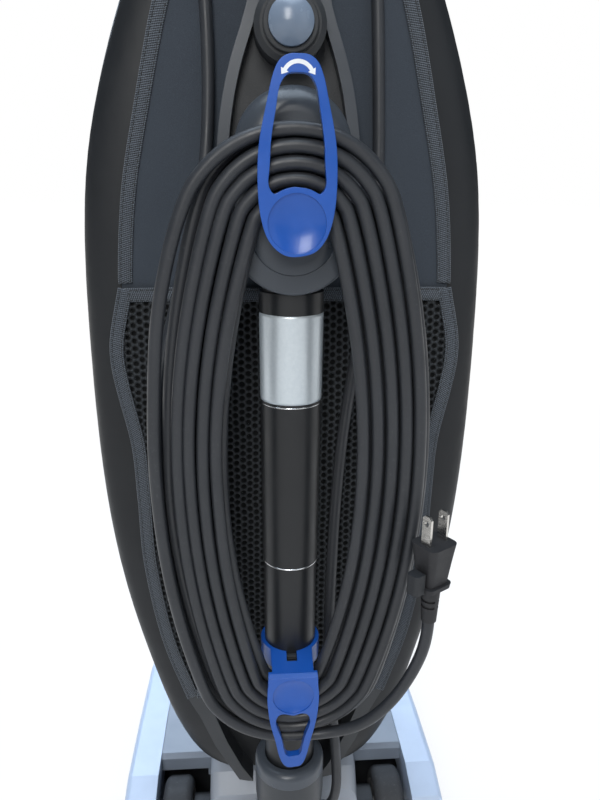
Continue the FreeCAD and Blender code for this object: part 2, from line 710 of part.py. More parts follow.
def make_upper_hook():
    """A flat loop hook with a hub, which turns on the elbow's stud to free the cord."""
    near = UPPER_FACE_AHEAD - HOOK_PLATE
    plate = loop_plate(UPPER_OUTLINE, UPPER_HOLE, near, HOOK_PLATE)
    hub = cyl(HOOK_HUB_R, ELBOW_REAR_AHEAD - SEAT_GAP - UPPER_FACE_AHEAD,
              at(0, UPPER_FACE_AHEAD, HOOK_DISC_Z), FORE)
    bore = cyl(HOOK_STUD_R + FIT_GAP, 60, at(0, UPPER_FACE_AHEAD, HOOK_DISC_Z), FORE)
    dimple = dish(HOOK_DIMPLE_R, near, HOOK_DISC_Z)
    return plate.fuse(hub).cut(bore).cut(dimple)


def make_lower_hook():
    """A collar clipped round the tube, a bridge over the cord and a plate with a thumb dimple."""
    near = LOWER_FACE_AHEAD - HOOK_PLATE
    plate = loop_plate(LOWER_OUTLINE, LOWER_HOLE, near, HOOK_PLATE)
    collar = cyl(LOWER_HOOK_R, LOWER_HOOK_TOP_Z - BRIDGE_Z, at(0, 0, BRIDGE_Z), UP)
    right = list(BRIDGE_SHAPE)
    bridge = prism_back(right + [(-x, z) for x, z in reversed(right)], near + 0.5, -LOWER_HOOK_R / 3)
    body = collar.fuse([bridge, plate])
    body = body.cut(cyl(LOWER_TUBE_R + FIT_GAP, 100, at(0, 0, BRIDGE_Z - 10), UP))
    slope = prism_side(list(HOOK_SLOPE) + [(LOWER_HOOK_R, LOWER_HOOK_TOP_Z), (LOWER_HOOK_R, LOWER_HOOK_TOP_Z + 9),
                                           (-60, LOWER_HOOK_TOP_Z + 9)], -30, 30)
    body = body.cut(slope)
    notch = block(-NOTCH_HALF, NOTCH_HALF, NOTCH_REAR, -LOWER_TUBE_R / 2, BRIDGE_Z + NOTCH_FLOOR, BRIDGE_Z + 40)
    dimple = dish(LOWER_DIMPLE_R, near, LOWER_DISC_Z)
    return body.cut(notch).cut(dimple)


def make_hook_catch():
    """The small ribbed catch that locks the lower hook in its notch."""
    half = NOTCH_HALF - 0.15
    rear = -LOWER_TUBE_R - 2.4
    low = BRIDGE_Z + NOTCH_FLOOR + FIT_GAP
    base = block(-half, half, rear, -LOWER_TUBE_R - 0.1, low, low + 9.4)
    ribs = [block(-half, half, rear - 0.6, rear, low + 0.5 + 1.6 * k, low + 1.3 + 1.6 * k) for k in range(6)]
    return base.fuse(ribs)


# Elbow, spine, handle and button


def pill(radius_top, radius_low, near, far):
    """A plate with a round top and a rounder bottom, between two depths."""
    top_z = ELBOW_TOP_Z - ELBOW_HALF_WIDTH
    thick = far - near
    upper = cyl(radius_top, thick, at(0, near, top_z), FORE)
    lower = cyl(radius_low, thick, at(0, near, ELBOW_LOW_Z), FORE)
    middle = block(-radius_top, radius_top, near, far, ELBOW_LOW_Z, top_z)
    return upper.fuse([lower, middle])


def elbow_skin():
    body = pill(ELBOW_HALF_WIDTH, ELBOW_HALF_WIDTH, ELBOW_REAR_AHEAD, PLATE_FRONT)
    rear = [e for e in body.Edges if e.BoundBox.YMin > TUBE_Y - ELBOW_REAR_AHEAD - 0.1]
    return body.makeFillet(ELBOW_ROUNDING, rear)


def make_elbow():
    """The elbow that leads the air from the tube into the housing, with the hook's stud."""
    stud_end = UPPER_FACE_AHEAD + SEAT_GAP
    stud = cyl(HOOK_STUD_R, -stud_end, at(0, 0, HOOK_DISC_Z), BACK)
    outlet = cyl(OUTLET_R, OUTLET_REACH + 1, at(0, PLATE_FRONT - 1, OUTLET_Z), FORE)
    body = elbow_skin().fuse([stud, outlet])
    rise = cyl(ELBOW_BORE, OUTLET_Z - ELBOW_BOTTOM_Z + 11, at(0, 0, ELBOW_BOTTOM_Z - 11), UP)
    out = cyl(ELBOW_BORE, 80, at(0, 0, OUTLET_Z), FORE)
    ball = Part.makeSphere(ELBOW_BORE, at(0, 0, OUTLET_Z))
    return body.cut(rise).cut(out).cut(ball)


def make_elbow_lip():
    """The raised round lip of the elbow's lower part, behind which the cord winds."""
    near = -SLEEVE_TOP_R - SEAT_GAP - ELBOW_LIP_THICK
    ring = cyl(ELBOW_LIP_R, ELBOW_LIP_THICK, at(0, near, ELBOW_LOW_Z), FORE)
    ring = ring.makeFillet(1.6, [e for e in ring.Edges if e.BoundBox.YLength < 0.01])
    below = block(-40, 40, -40, 40, ELBOW_LOW_Z - 60, ELBOW_LOW_Z + 1)
    return ring.common(below).cut(elbow_skin())


def rail_outline(offset):
    return [(x + offset, z) for x, z in RAIL_PATH]


def button_foot(offset, near, far):
    """The outline of the release button's boss: a disc with a foot up to the handle's socket."""
    half = RING_R + offset
    foot = prism_back([(-half, BUTTON_Z), (half, BUTTON_Z), (half, BUTTON_Z + 14), (13 + offset, BUTTON_Z + 34),
                       (-13 - offset, BUTTON_Z + 34), (-half, BUTTON_Z + 14)], near, far)
    return foot.fuse(cyl(BOSS_HALF_WIDTH + offset, far - near, at(0, near, BUTTON_Z), FORE))


def button_boss():
    """The round boss of the release button: a sloped shoulder behind a raised ring."""
    shoulder = BOSS_REAR_AHEAD + RING_HEIGHT
    wide = BOSS_HALF_WIDTH
    base = button_foot(0, shoulder + 2.5, PLATE_FRONT)
    slope = Part.makeCone(wide - 3, wide, 2.5, at(0, shoulder, BUTTON_Z), FORE)
    ring = cyl(RING_R, RING_HEIGHT + 1, at(0, BOSS_REAR_AHEAD, BUTTON_Z), FORE)
    lip = [e for e in ring.Edges if e.BoundBox.YLength < 0.01 and e.BoundBox.YMax > TUBE_Y - BOSS_REAR_AHEAD - 0.01]
    return base.fuse([slope, ring.makeFillet(0.8, lip)])


def gland_boss(side, offset, length):
    """The boss on one side of the spine that a cord comes out of."""
    way = route_way((side * GLAND_DIRECTION[0], GLAND_DIRECTION[1], GLAND_DIRECTION[2]))
    start = at(side * GLAND_X, HANDLE_AHEAD, GLAND_Z) - way * 13
    return cyl(GLAND_R + offset, length, start, way)


def make_spine_plate():
    """The spine with the handle's socket, the button's boss and the two cord glands."""
    near = PLATE_FRONT - SPINE_PLATE
    plate = curved_plate(rail_outline(RAIL_WIDTH / 2), 0, near, PLATE_FRONT, False)
    socket = cyl(SOCKET_R, SOCKET_TOP_Z - BUTTON_Z - 10, at(0, HANDLE_AHEAD, BUTTON_Z + 10), UP)
    body = plate.fuse([socket, button_boss(),
                       gland_boss(1, 0, 22), gland_boss(-1, 0, 22)])
    room = pill(ELBOW_HALF_WIDTH + SEAT_GAP, ELBOW_HALF_WIDTH + SEAT_GAP, -60, PLATE_FRONT + 1)
    body = body.cut(room)
    tube_room = cyl(HANDLE_TUBE_R + FIT_GAP, 200, at(0, HANDLE_AHEAD, HANDLE_BOTTOM_Z), UP)
    chamber = cyl(BUTTON_R + 0.1, CHAMBER_DEPTH, at(0, BOSS_REAR_AHEAD, BUTTON_Z), FORE)
    pin_hole = cyl(PLUNGER_R + 0.1, PLUNGER_LENGTH, at(0, BOSS_REAR_AHEAD + 2, BUTTON_Z), FORE)
    body = body.cut(tube_room).cut(chamber).cut(pin_hole)
    relief_room = cyl(RELIEF_R + FIT_GAP, 40, gland_point(1), gland_way(1))
    lead_room = cyl(LEAD_D / 2 + 0.05, 40, gland_point(-1), gland_way(-1))
    body = body.cut(relief_room).cut(lead_room).cut(block(-60, 60, PLATE_FRONT, PLATE_FRONT + 20, 500, 800))
    for hole in spine_screw_holes(PLATE_FRONT - SCREW_BITE - 0.2, PLATE_FRONT + 1):
        body = body.cut(hole)
    return body


def spine_screw_holes(near, far):
    return [cyl(SCREW_SHANK_R, far - near, at(side * SPINE_SCREW[0], near, SPINE_SCREW[1]), FORE) for side in (-1, 1)]


def gland_way(side):
    return route_way((side * GLAND_DIRECTION[0], GLAND_DIRECTION[1], GLAND_DIRECTION[2]))


def gland_point(side):
    return at(side * GLAND_X, HANDLE_AHEAD, GLAND_Z)


def make_spine_rails():
    """Two raised rails that arch over the spine plate."""
    far = PLATE_FRONT - SPINE_PLATE
    outer = curved_plate(rail_outline(RAIL_WIDTH / 2), 0, far - RAIL_HEIGHT, far, False)
    inner = curved_plate(rail_outline(-RAIL_WIDTH / 2), 0, far - RAIL_HEIGHT - 1, far + 1, False)
    band = outer.cut(inner)
    socket = cyl(SOCKET_R + 0.1, 200, at(0, HANDLE_AHEAD, BUTTON_Z), UP)
    elbow = pill(ELBOW_HALF_WIDTH + SEAT_GAP, ELBOW_HALF_WIDTH + SEAT_GAP, -60, 60)
    band = band.cut(button_foot(0.1, -60, 60)).cut(socket).cut(elbow)
    band = band.cut(gland_boss(1, 0.2, 70)).cut(gland_boss(-1, 0.2, 70))
    return group([s for s in band.Solids if s.Volume > 200])


def make_release_button():
    """A domed button with its plunger, which locks the handle tube."""
    rear = BOSS_REAR_AHEAD - BUTTON_PROUD
    cap = cyl(BUTTON_R, BUTTON_CAP, at(0, rear, BUTTON_Z), FORE)
    ball_r = (BUTTON_R ** 2 + BUTTON_DOME ** 2) / (2 * BUTTON_DOME)
    ball = Part.makeSphere(ball_r, at(0, rear - BUTTON_DOME + ball_r, BUTTON_Z))
    dome = ball.common(cyl(BUTTON_R, BUTTON_DOME + 1, at(0, rear, BUTTON_Z), BACK))
    plunger = cyl(PLUNGER_R, PLUNGER_LENGTH, at(0, BOSS_REAR_AHEAD, BUTTON_Z), FORE)
    return cap.fuse([dome, plunger])


def make_button_spring():
    """The compression spring round the plunger, under the button's cap."""
    near = BOSS_REAR_AHEAD - BUTTON_PROUD + BUTTON_CAP + 0.2
    far = BOSS_REAR_AHEAD + CHAMBER_DEPTH - 0.2
    first = near + SPRING_WIRE / 2
    rise = far - near - SPRING_WIRE
    count = 2 * round(4 * SPRING_TURNS)
    points = []
    for k in range(count + 1):
        turn = 2 * math.pi * SPRING_TURNS * k / count
        points.append(at(SPRING_R * math.cos(turn), first + rise * k / count, BUTTON_Z + SPRING_R * math.sin(turn)))
    arcs = [Part.Arc(*points[k:k + 3]).toShape() for k in range(0, count - 1, 2)]
    return pipe(Part.Wire(arcs), SPRING_WIRE / 2, points[0], arcs[0].tangentAt(arcs[0].FirstParameter))


def make_handle_tube():
    skin = cyl(HANDLE_TUBE_R, GRIP_Z - HANDLE_BOTTOM_Z, at(0, HANDLE_AHEAD, HANDLE_BOTTOM_Z), UP)
    bore = cyl(HANDLE_TUBE_R - HANDLE_TUBE_WALL, 600, at(0, HANDLE_AHEAD, HANDLE_BOTTOM_Z - 1), UP)
    hole = cyl(PLUNGER_R + 0.3, HANDLE_TUBE_R + 4, at(0, HANDLE_AHEAD - HANDLE_TUBE_R - 4, BUTTON_Z), FORE)
    return skin.cut(bore).cut(hole)


def make_handle_grip():
    """The loop grip on its ferrule."""
    outer = smooth_closed([at(0, n, z) for n, z in GRIP_OUTER])
    inner = smooth_closed([at(0, n, z) for n, z in GRIP_INNER])
    body = Part.Face(outer).extrude(SIDE * GRIP_HALF).fuse(Part.Face(outer).extrude(SIDE * -GRIP_HALF))
    body = body.removeSplitter()
    hole = Part.Face(inner).extrude(SIDE * 60).fuse(Part.Face(inner).extrude(SIDE * -60))
    body = body.cut(hole)
    ferrule = cyl(FERRULE_R, FERRULE_DEPTH + 10, at(0, HANDLE_AHEAD, GRIP_Z - FERRULE_DEPTH), UP)
    body = body.fuse(ferrule)
    room = cyl(HANDLE_TUBE_R + FIT_GAP, FERRULE_DEPTH + 1, at(0, HANDLE_AHEAD, GRIP_Z - FERRULE_DEPTH - 1), UP)
    body = body.cut(room)
    reach = SWITCH_HALF_HEIGHT + 1.2
    pocket = block(-SWITCH_HALF - 0.3, SWITCH_HALF + 0.3, SWITCH_AHEAD - SWITCH_DEPTH, SWITCH_AHEAD + 6,
                   SWITCH_Z - reach, SWITCH_Z + reach)
    half = SWITCH_HALF + SWITCH_PIN + 0.1
    pivot = cyl(SWITCH_PIN_R + FIT_GAP, 2 * half, at(-half, SWITCH_PIVOT_AHEAD, SWITCH_Z), SIDE)
    return body.cut(pocket).cut(pivot)


def make_grip_pad():
    """The soft pad round the back run of the loop grip."""
    outer = smooth_closed([at(0, n, z) for n, z in grown(GRIP_OUTER, PAD_THICK)])
    inner = smooth_closed([at(0, n, z) for n, z in GRIP_OUTER])
    shell = Part.Face(outer).cut(Part.Face(inner)).extrude(SIDE * (GRIP_HALF - 1.5))
    shell = shell.fuse(Part.Face(outer).cut(Part.Face(inner)).extrude(SIDE * (1.5 - GRIP_HALF)))
    keep = block(-30, 30, -60, -8, PAD_LOW_Z, PAD_TOP_Z)
    pad = shell.common(keep)
    return pad


def grown(points, by):
    """The points of a closed outline moved out from its middle."""
    mid_n = sum(n for n, z in points) / len(points)
    mid_z = sum(z for n, z in points) / len(points)
    out = []
    for n, z in points:
        length = math.hypot(n - mid_n, z - mid_z)
        out.append((n + (n - mid_n) / length * by, z + (z - mid_z) / length * by))
    return out


def make_power_switch():
    """A rocker switch in the front of the grip, on two stub pins."""
    half = SWITCH_HALF_HEIGHT
    body = prism_side([(SWITCH_AHEAD - 5.4, SWITCH_Z - half + 0.5), (SWITCH_AHEAD - 5.4, SWITCH_Z + half - 0.5),
                       (SWITCH_AHEAD + 1.4, SWITCH_Z + half), (SWITCH_AHEAD - 0.6, SWITCH_Z),
                       (SWITCH_AHEAD - 0.6, SWITCH_Z - half)], -SWITCH_HALF, SWITCH_HALF)
    reach = SWITCH_HALF + SWITCH_PIN
    pins = cyl(SWITCH_PIN_R, 2 * reach, at(-reach, SWITCH_PIVOT_AHEAD, SWITCH_Z), SIDE)
    return body.fuse(pins)


# Bag housing: rear frame, cover, panel, pocket, binding and trim


def recess_points(offset):
    """The outline of the V recess at the housing's foot, open at its lower end."""
    right = [(x + offset, z) for x, z in TRIM_OUTER]
    top = RECESS_TOP_Z + offset
    return [(right[0][0], top)] + right + [(-x, z) for x, z in reversed(right)] + [(-right[0][0], top)]


def make_rim_frame():
    """The rear shell of the housing with its rounded rim, the recess, the hinge knuckles and the catch's lug."""
    back = RIM_BACK_AHEAD
    outer = body_loft([(27, back), (20, back + 0.7), (11, back + 3.0), (4, back + 7.5), (1, back + 13.5),
                       (0, back + 22.5), (0, RIM_FRONT_AHEAD)])
    cavity = body_loft([(29, back + SKIN), (22, back + SKIN + 0.7), (14, back + 6.5), (7, back + 11.5),
                        (4.5, back + 17.5), (SKIN + 0.4, back + 26.5), (SKIN + 0.2, RIM_FRONT_AHEAD + 1)])
    tray = outer.cut(cavity)
    pan = prism_back(recess_points(SKIN), back + 1, RECESS_AHEAD + SKIN)
    tray = tray.fuse(pan.common(outer))
    tray = tray.cut(prism_back(recess_points(0.15), 40, RECESS_AHEAD))
    tray = tray.cut(cyl(OUTLET_R + 0.4, 20, at(0, 40, OUTLET_Z), FORE))
    tray = tray.cut(spine_screw_holes(back - 1, back + SKIN + 1))
    body_top = BODY_BOTTOM_Z + BODY_HEIGHT
    for x in (-1.5 * KNUCKLE_LENGTH - SEAT_GAP, 0.5 * KNUCKLE_LENGTH + SEAT_GAP):
        end = x + KNUCKLE_LENGTH
        knuckle = cyl(KNUCKLE_R, KNUCKLE_LENGTH, at(x, HINGE_AHEAD, HINGE_Z), SIDE)
        root = block(x, end, RIM_FRONT_AHEAD - 6, RIM_FRONT_AHEAD - 1, body_top - 6, HINGE_Z + 1)
        arm = block(x, end, RIM_FRONT_AHEAD - 6, HINGE_AHEAD, body_top + 1.4, HINGE_Z + 1)
        hole = cyl(HINGE_PIN_R, 60, at(-30, HINGE_AHEAD, HINGE_Z), SIDE)
        tray = tray.fuse(knuckle.fuse([root, arm]).cut(hole))
    half = LATCH_HALF - 4
    lug = block(-half, half, LATCH_AHEAD - 5, LATCH_AHEAD + 1.6, LATCH_Z - 1.2, BODY_BOTTOM_Z + 1.2)
    tray = tray.fuse(lug).cut(cyl(LATCH_PIN_R + 2.2, 8, at(-4, LATCH_AHEAD, LATCH_Z), SIDE))
    return tray.fuse(cyl(LATCH_PIN_R, 2 * half, at(-half, LATCH_AHEAD, LATCH_Z), SIDE))


def make_front_cover():
    """The front shell of the housing, hinged at its top and held by the catch at its foot."""
    rear = RIM_FRONT_AHEAD + COVER_GAP
    front = COVER_FRONT_AHEAD
    skin = body_loft([(0, rear), (0.4, front - 90), (4, front - 62), (14, front - 34), (30, front - 13),
                      (58, front)])
    hollow = body_loft([(SKIN, rear - 1), (SKIN + 0.6, front - 90), (SKIN + 4.6, front - 63),
                        (SKIN + 14, front - 36), (SKIN + 29, front - 16), (60, front - SKIN)])
    half = KNUCKLE_LENGTH / 2
    knuckle = cyl(KNUCKLE_R, KNUCKLE_LENGTH, at(-half, HINGE_AHEAD, HINGE_Z), SIDE)
    arm = block(-half, half, HINGE_AHEAD - 2.0, HINGE_AHEAD + KNUCKLE_R, BODY_BOTTOM_Z + BODY_HEIGHT - 2.4, HINGE_Z)
    hole = cyl(HINGE_PIN_R + FIT_GAP, 80, at(-40, HINGE_AHEAD, HINGE_Z), SIDE)
    keeper = block(-LATCH_HALF + 4, LATCH_HALF - 4, LATCH_AHEAD + 12, LATCH_AHEAD + 19, LATCH_Z + 1.2,
                   BODY_BOTTOM_Z + 1.5)
    return skin.cut(hollow).fuse([knuckle.fuse(arm).cut(hole), keeper])


def make_hinge_pin():
    half = 1.5 * KNUCKLE_LENGTH + SEAT_GAP
    return cyl(HINGE_PIN_R - PRESS_GAP, 2 * half, at(-half, HINGE_AHEAD, HINGE_Z), SIDE)


def make_cover_latch():
    """A snap catch under the housing's foot, which turns down on its pin."""
    inner = LATCH_Z + 1.0
    outer = inner - LATCH_THICK
    eye = cyl(LATCH_PIN_R + 1.8, 7.4, at(-3.7, LATCH_AHEAD, LATCH_Z), SIDE)
    arm = block(-LATCH_HALF, LATCH_HALF, LATCH_AHEAD + 2.4, LATCH_AHEAD + LATCH_LENGTH, outer, inner)
    neck = block(-3.7, 3.7, LATCH_AHEAD + 0.5, LATCH_AHEAD + 3, outer, inner)
    lip = cyl(1.8, 2 * LATCH_HALF, at(-LATCH_HALF, LATCH_AHEAD + LATCH_LENGTH - 1.8, outer - 0.2), SIDE)
    body = eye.fuse([arm, neck, lip])
    return body.cut(cyl(LATCH_PIN_R + FIT_GAP, 20, at(-10, LATCH_AHEAD, LATCH_Z), SIDE))


def make_back_panel():
    plate = curved_plate(PANEL_SHAPE, PANEL_TOP_Z, PANEL_BACK, RIM_BACK_AHEAD - SEAT_GAP, True)
    plate = plate.cut(cyl(OUTLET_R + 0.4, 20, at(0, 30, OUTLET_Z), FORE))
    return plate.cut(spine_screw_holes(PLATE_FRONT, RIM_BACK_AHEAD + 1))


def make_mesh_pocket():
    return curved_plate(POCKET_SHAPE, 0, PANEL_BACK - SEAT_GAP - POCKET_THICK, PANEL_BACK - SEAT_GAP, False)


def make_panel_binding():
    """The woven tape: one band round the panel above the pocket, one round the pocket."""
    far = PANEL_BACK - SEAT_GAP
    near = far - BINDING_THICK
    shape = [(x + 1.5, z) for x, z in PANEL_SHAPE]
    outer = curved_plate(shape, PANEL_TOP_Z + 2, near, far, True)
    slim = [(x - BINDING_WIDTH, z) for x, z in shape[:-1]] + [(shape[-1][0] * 0.62, shape[-1][1] - 6.0)]
    inner = curved_plate(slim, PANEL_TOP_Z + 2 - BINDING_WIDTH, near - 1, far + 1, True)
    upper = outer.cut(inner).common(block(-200, 200, near - 1, far + 1, POCKET_TOP_Z + 0.4, 800))
    spine = curved_plate(rail_outline(RAIL_WIDTH / 2 + SEAT_GAP), 0, near - 1, far + 1, False)
    upper = upper.cut(spine)
    pocket_far = far - POCKET_THICK - SEAT_GAP
    outline = [(x + 1.0, z) for x, z in POCKET_SHAPE]
    wide = curved_plate(outline, 0, pocket_far - BINDING_THICK, pocket_far, False)
    narrow = [(x - BINDING_WIDTH, z) for x, z in outline]
    narrow[0] = (narrow[0][0], narrow[0][1] + BINDING_WIDTH)
    narrow[-1] = (narrow[-1][0], narrow[-1][1] - BINDING_WIDTH)
    window = curved_plate(narrow, 0, pocket_far - BINDING_THICK - 1, pocket_far + 1, False)
    return group(upper.Solids + wide.cut(window).Solids)


def make_trim_strips():
    """Two strips that line the recess at the housing's foot."""
    near = RIM_BACK_AHEAD - 1.5
    strip = prism_back(list(TRIM_OUTER) + list(TRIM_INNER)[::-1], near, RECESS_AHEAD)
    inside = body_loft([(1.2, 40.0), (1.2, 70.0)])
    strip = strip.common(inside)
    return group([strip, mirrored(strip)])


def make_dust_bag():
    """The paper bag, an open shell whose mouth sits round the dock's ring."""
    back = BAG_BACK_AHEAD
    skin = body_loft([(36, back), (17, back + 16), (13, back + 36), (20, back + 66), (36, back + 86),
                      (62, back + 100)])
    wall = BAG_WALL
    room = body_loft([(36 + wall, back + wall), (17 + wall, back + 16 + wall), (13 + wall, back + 36),
                      (20 + wall, back + 66 - wall), (36 + wall, back + 86 - wall), (62 + wall, back + 100 - wall)])
    mouth = cyl(OUTLET_R, 20, at(0, back - 10, OUTLET_Z), FORE)
    return skin.cut(room).cut(mouth)


def make_bag_dock():
    """The plate inside the housing that holds the bag's collar on the elbow's outlet."""
    near = RIM_BACK_AHEAD + SKIN + FIT_GAP
    plate = block(-DOCK_HALF_WIDTH, DOCK_HALF_WIDTH, near, near + DOCK_PLATE, OUTLET_Z - DOCK_HALF_HEIGHT,
                  OUTLET_Z + DOCK_HALF_HEIGHT)
    plate = plate.makeFillet(8, [e for e in plate.Edges if e.BoundBox.YLength > DOCK_PLATE - 0.5])
    ring = cyl(OUTLET_R + DOCK_RING, BAG_BACK_AHEAD - SEAT_GAP - near, at(0, near, OUTLET_Z), FORE)
    body = plate.fuse(ring).cut(cyl(OUTLET_R + FIT_GAP, 60, at(0, near - 5, OUTLET_Z), FORE))
    for x, z in dock_screw_places():
        body = body.cut(cyl(SCREW_SHANK_R, 20, at(x, near - 5, z), FORE))
    return body


def dock_screw_places():
    side, rise = DOCK_SCREW
    return [(x, OUTLET_Z + z) for x in (-side, side) for z in (-rise, rise)]


def make_housing_screws():
    """Screws from the housing's inside: two into the spine plate, four through the dock."""
    screws = []
    shank_r = SCREW_SHANK_R - FIT_GAP
    face = RIM_BACK_AHEAD + SKIN + FIT_GAP
    for side in (-1, 1):
        place = at(side * SPINE_SCREW[0], face, SPINE_SCREW[1])
        shank = cyl(shank_r, face - PLATE_FRONT + SCREW_BITE, place, BACK)
        screws.append(cyl(SCREW_HEAD_R, SCREW_HEAD, place, FORE).fuse(shank))
    face = RIM_BACK_AHEAD + SKIN + FIT_GAP + DOCK_PLATE
    for x, z in dock_screw_places():
        place = at(x, face, z)
        screws.append(cyl(SCREW_HEAD_R, SCREW_HEAD, place, FORE).fuse(cyl(shank_r, DOCK_PLATE - 0.2, place, BACK)))
    return group(screws)


# Floor head

def head_plan(inset, near, far, z0, z1):
    """A block with the head's plan, its front corners round."""
    half = HEAD_HALF_WIDTH - inset
    body = block(-half, half, near, far - inset, z0, z1)
    front = [e for e in body.Edges if e.BoundBox.ZLength > 1 and e.BoundBox.YMax < TUBE_Y - far + inset + 0.1]
    return body.makeFillet(HEAD_CORNER_R - inset, front)


def chassis_room(gap):
    """The space that the chassis walls take, with a gap round them."""
    return head_plan(CHASSIS_INSET - gap, CHASSIS_REAR_AHEAD - 1, HEAD_FRONT_AHEAD, 0, CHASSIS_TOP_Z + gap)


def brush_chamber(gap):
    """The outside of the housing round the brush, with a gap round it."""
    half = TUNNEL_HALF + 5 + gap
    radius = TUNNEL_R + 2.2 + gap
    drum = cyl(radius, 2 * half, at(-half, BRUSH_AHEAD, BRUSH_Z), SIDE)
    return drum.fuse(block(-half, half, BRUSH_AHEAD - 29, BRUSH_AHEAD + 29, FLOOR_LOW_Z, BRUSH_Z)).common(
        block(-half, half, 0, HEAD_FRONT_AHEAD, FLOOR_LOW_Z, 100))


def chassis_beam():
    """The rear cross beam, which holds the wheel axles and the lugs of the tilt joint."""
    near = HEAD_REAR_AHEAD + 22
    far = near + 30
    beam = block(-BEAM_HALF, BEAM_HALF, near, far, 20, 50)
    beam = beam.makeFillet(9, [e for e in beam.Edges if e.BoundBox.XLength > 100])
    joint = block(-MOTOR_COVER_HALF + 4, MOTOR_COVER_HALF - 4, far - 6, far, FLOOR_LOW_Z, 24)
    beam = beam.fuse(joint)
    beam = beam.cut(block(-LUG_IN, LUG_IN, near - 12, far + 8, 27, 60))
    beam = beam.cut(block(-LUG_IN, LUG_IN, near + 8, far + 8, FLOOR_TOP_Z, 60))
    lug = block(LUG_IN, LUG_OUT, PIVOT_AHEAD - 14, near + 4, PIVOT_Z - 14, PIVOT_Z + 13)
    lug = lug.makeFillet(11, [e for e in lug.Edges if e.BoundBox.XLength > 5
                              and e.BoundBox.YMin > TUBE_Y - PIVOT_AHEAD + 13])
    return beam.fuse([lug, mirrored(lug)])


def roller_well(x):
    """The housing of a front roller, with its pin."""
    outer = block(x - 11, x + 11, ROLLER_AHEAD - 12, ROLLER_AHEAD + 12, 5, 20)
    inner = block(x - 8.5, x + 8.5, ROLLER_AHEAD - 9.5, ROLLER_AHEAD + 9.5, 4, 17.5)
    return outer.cut(inner).fuse(cyl(ROLLER_PIN_R, 18, at(x - 9, ROLLER_AHEAD, ROLLER_R), SIDE))


def make_head_chassis():
    """The floor of the head with its side walls, brush chamber, rear beam, lugs and roller wells."""
    inset = CHASSIS_INSET
    rear = CHASSIS_REAR_AHEAD
    plate = head_plan(inset, rear, HEAD_FRONT_AHEAD, FLOOR_LOW_Z, FLOOR_TOP_Z)
    for side in (-1, 1):
        ends = sorted((side * (MOTOR_COVER_HALF + 2.5), side * (HEAD_HALF_WIDTH - ARM_WIDTH - 1)))
        plate = plate.cut(block(ends[0], ends[1], rear - 1, WINDOW_AHEAD, 0, CHASSIS_TOP_Z))
    bay = block(-MOTOR_COVER_HALF, MOTOR_COVER_HALF, rear - 24, rear + 8, FLOOR_LOW_Z, FLOOR_TOP_Z)
    wall_out = head_plan(inset, rear, HEAD_FRONT_AHEAD, FLOOR_LOW_Z, CHASSIS_TOP_Z)
    wall_in = head_plan(inset + SKIN, rear - 2, HEAD_FRONT_AHEAD, FLOOR_TOP_Z, CHASSIS_TOP_Z + 1)
    body = plate.fuse([bay, wall_out.cut(wall_in), brush_chamber(0), chassis_beam()])
    foot = block(MOTOR_HALF - 12, MOTOR_HALF - 2, MOTOR_AHEAD - 20, MOTOR_AHEAD + 20, FLOOR_TOP_Z, MOTOR_Z - 4)
    foot = foot.cut(cyl(MOTOR_R + FIT_GAP, 200, at(-100, MOTOR_AHEAD, MOTOR_Z), SIDE))
    body = body.fuse([foot, mirrored(foot)])
    tunnel = cyl(TUNNEL_R, 2 * TUNNEL_HALF, at(-TUNNEL_HALF, BRUSH_AHEAD, BRUSH_Z), SIDE)
    mouth = block(-BRUSH_HALF - 5, BRUSH_HALF + 5, BRUSH_AHEAD - 20, BRUSH_AHEAD + 20, 0, BRUSH_Z)
    inlet = block(-DUCT_HALF, DUCT_HALF, BRUSH_AHEAD - 40, BRUSH_AHEAD - 15, DUCT_LOW_Z, DUCT_HIGH_Z)
    belt_slot = block(PULLEY_X - BELT_WIDTH, PULLEY_X + BELT_WIDTH, BRUSH_AHEAD - 40, BRUSH_AHEAD + 18,
                      FLOOR_TOP_Z, BRUSH_Z + TUNNEL_R + 10)
    body = body.cut(tunnel).cut(mouth).cut(inlet).cut(belt_slot)
    pin = cyl(PIN_R + FIT_GAP, 120, at(-60, PIVOT_AHEAD, PIVOT_Z), SIDE)
    axle = cyl(AXLE_R + PRESS_GAP, BEAM_HALF, at(AXLE_IN_X, WHEEL_AHEAD, WHEEL_R), SIDE)
    body = body.cut(pin).cut(axle).cut(mirrored(axle))
    for x in (-ROLLER_X, ROLLER_X):
        body = body.cut(block(x - 8.5, x + 8.5, ROLLER_AHEAD - 9.5, ROLLER_AHEAD + 9.5, 4, 17.5))
        body = body.fuse(roller_well(x))
    return body


def make_nozzle_plate():
    """The sole under the brush, its mouth crossed by thin bars."""
    half = TUNNEL_HALF + SKIN
    low = FLOOR_LOW_Z - SKIN
    plate = block(-half, half, BRUSH_AHEAD - 29, BRUSH_AHEAD + 29, low, FLOOR_LOW_Z - FIT_GAP)
    plate = plate.makeFillet(8, [e for e in plate.Edges if e.BoundBox.ZLength > 2])
    mouth = block(-BRUSH_HALF - 4, BRUSH_HALF + 4, BRUSH_AHEAD - 21.5, BRUSH_AHEAD + 21.5, 0, 10)
    bars = [block(x - 1, x + 1, BRUSH_AHEAD - 21.5, BRUSH_AHEAD + 21.5, low, low + 0.8)
            for x in (-70, -35, 0, 35, 70)]
    return plate.cut(mouth).fuse(bars)


def arm_profile(inset):
    """The side outline of a head arm, from its rear end round over the top to the front."""
    rear = HEAD_REAR_AHEAD + inset
    front = HEAD_FRONT_AHEAD - inset
    low = 20 - 2 * inset
    return ((rear, 24 + inset), (rear + 2, 52), (56, 66 - inset / 2), (84, 74 - inset), (150, 73 - inset),
            (230, 67 - inset), (296, 50 - inset), (front, 36 - inset / 2), (front, low), (rear, low))


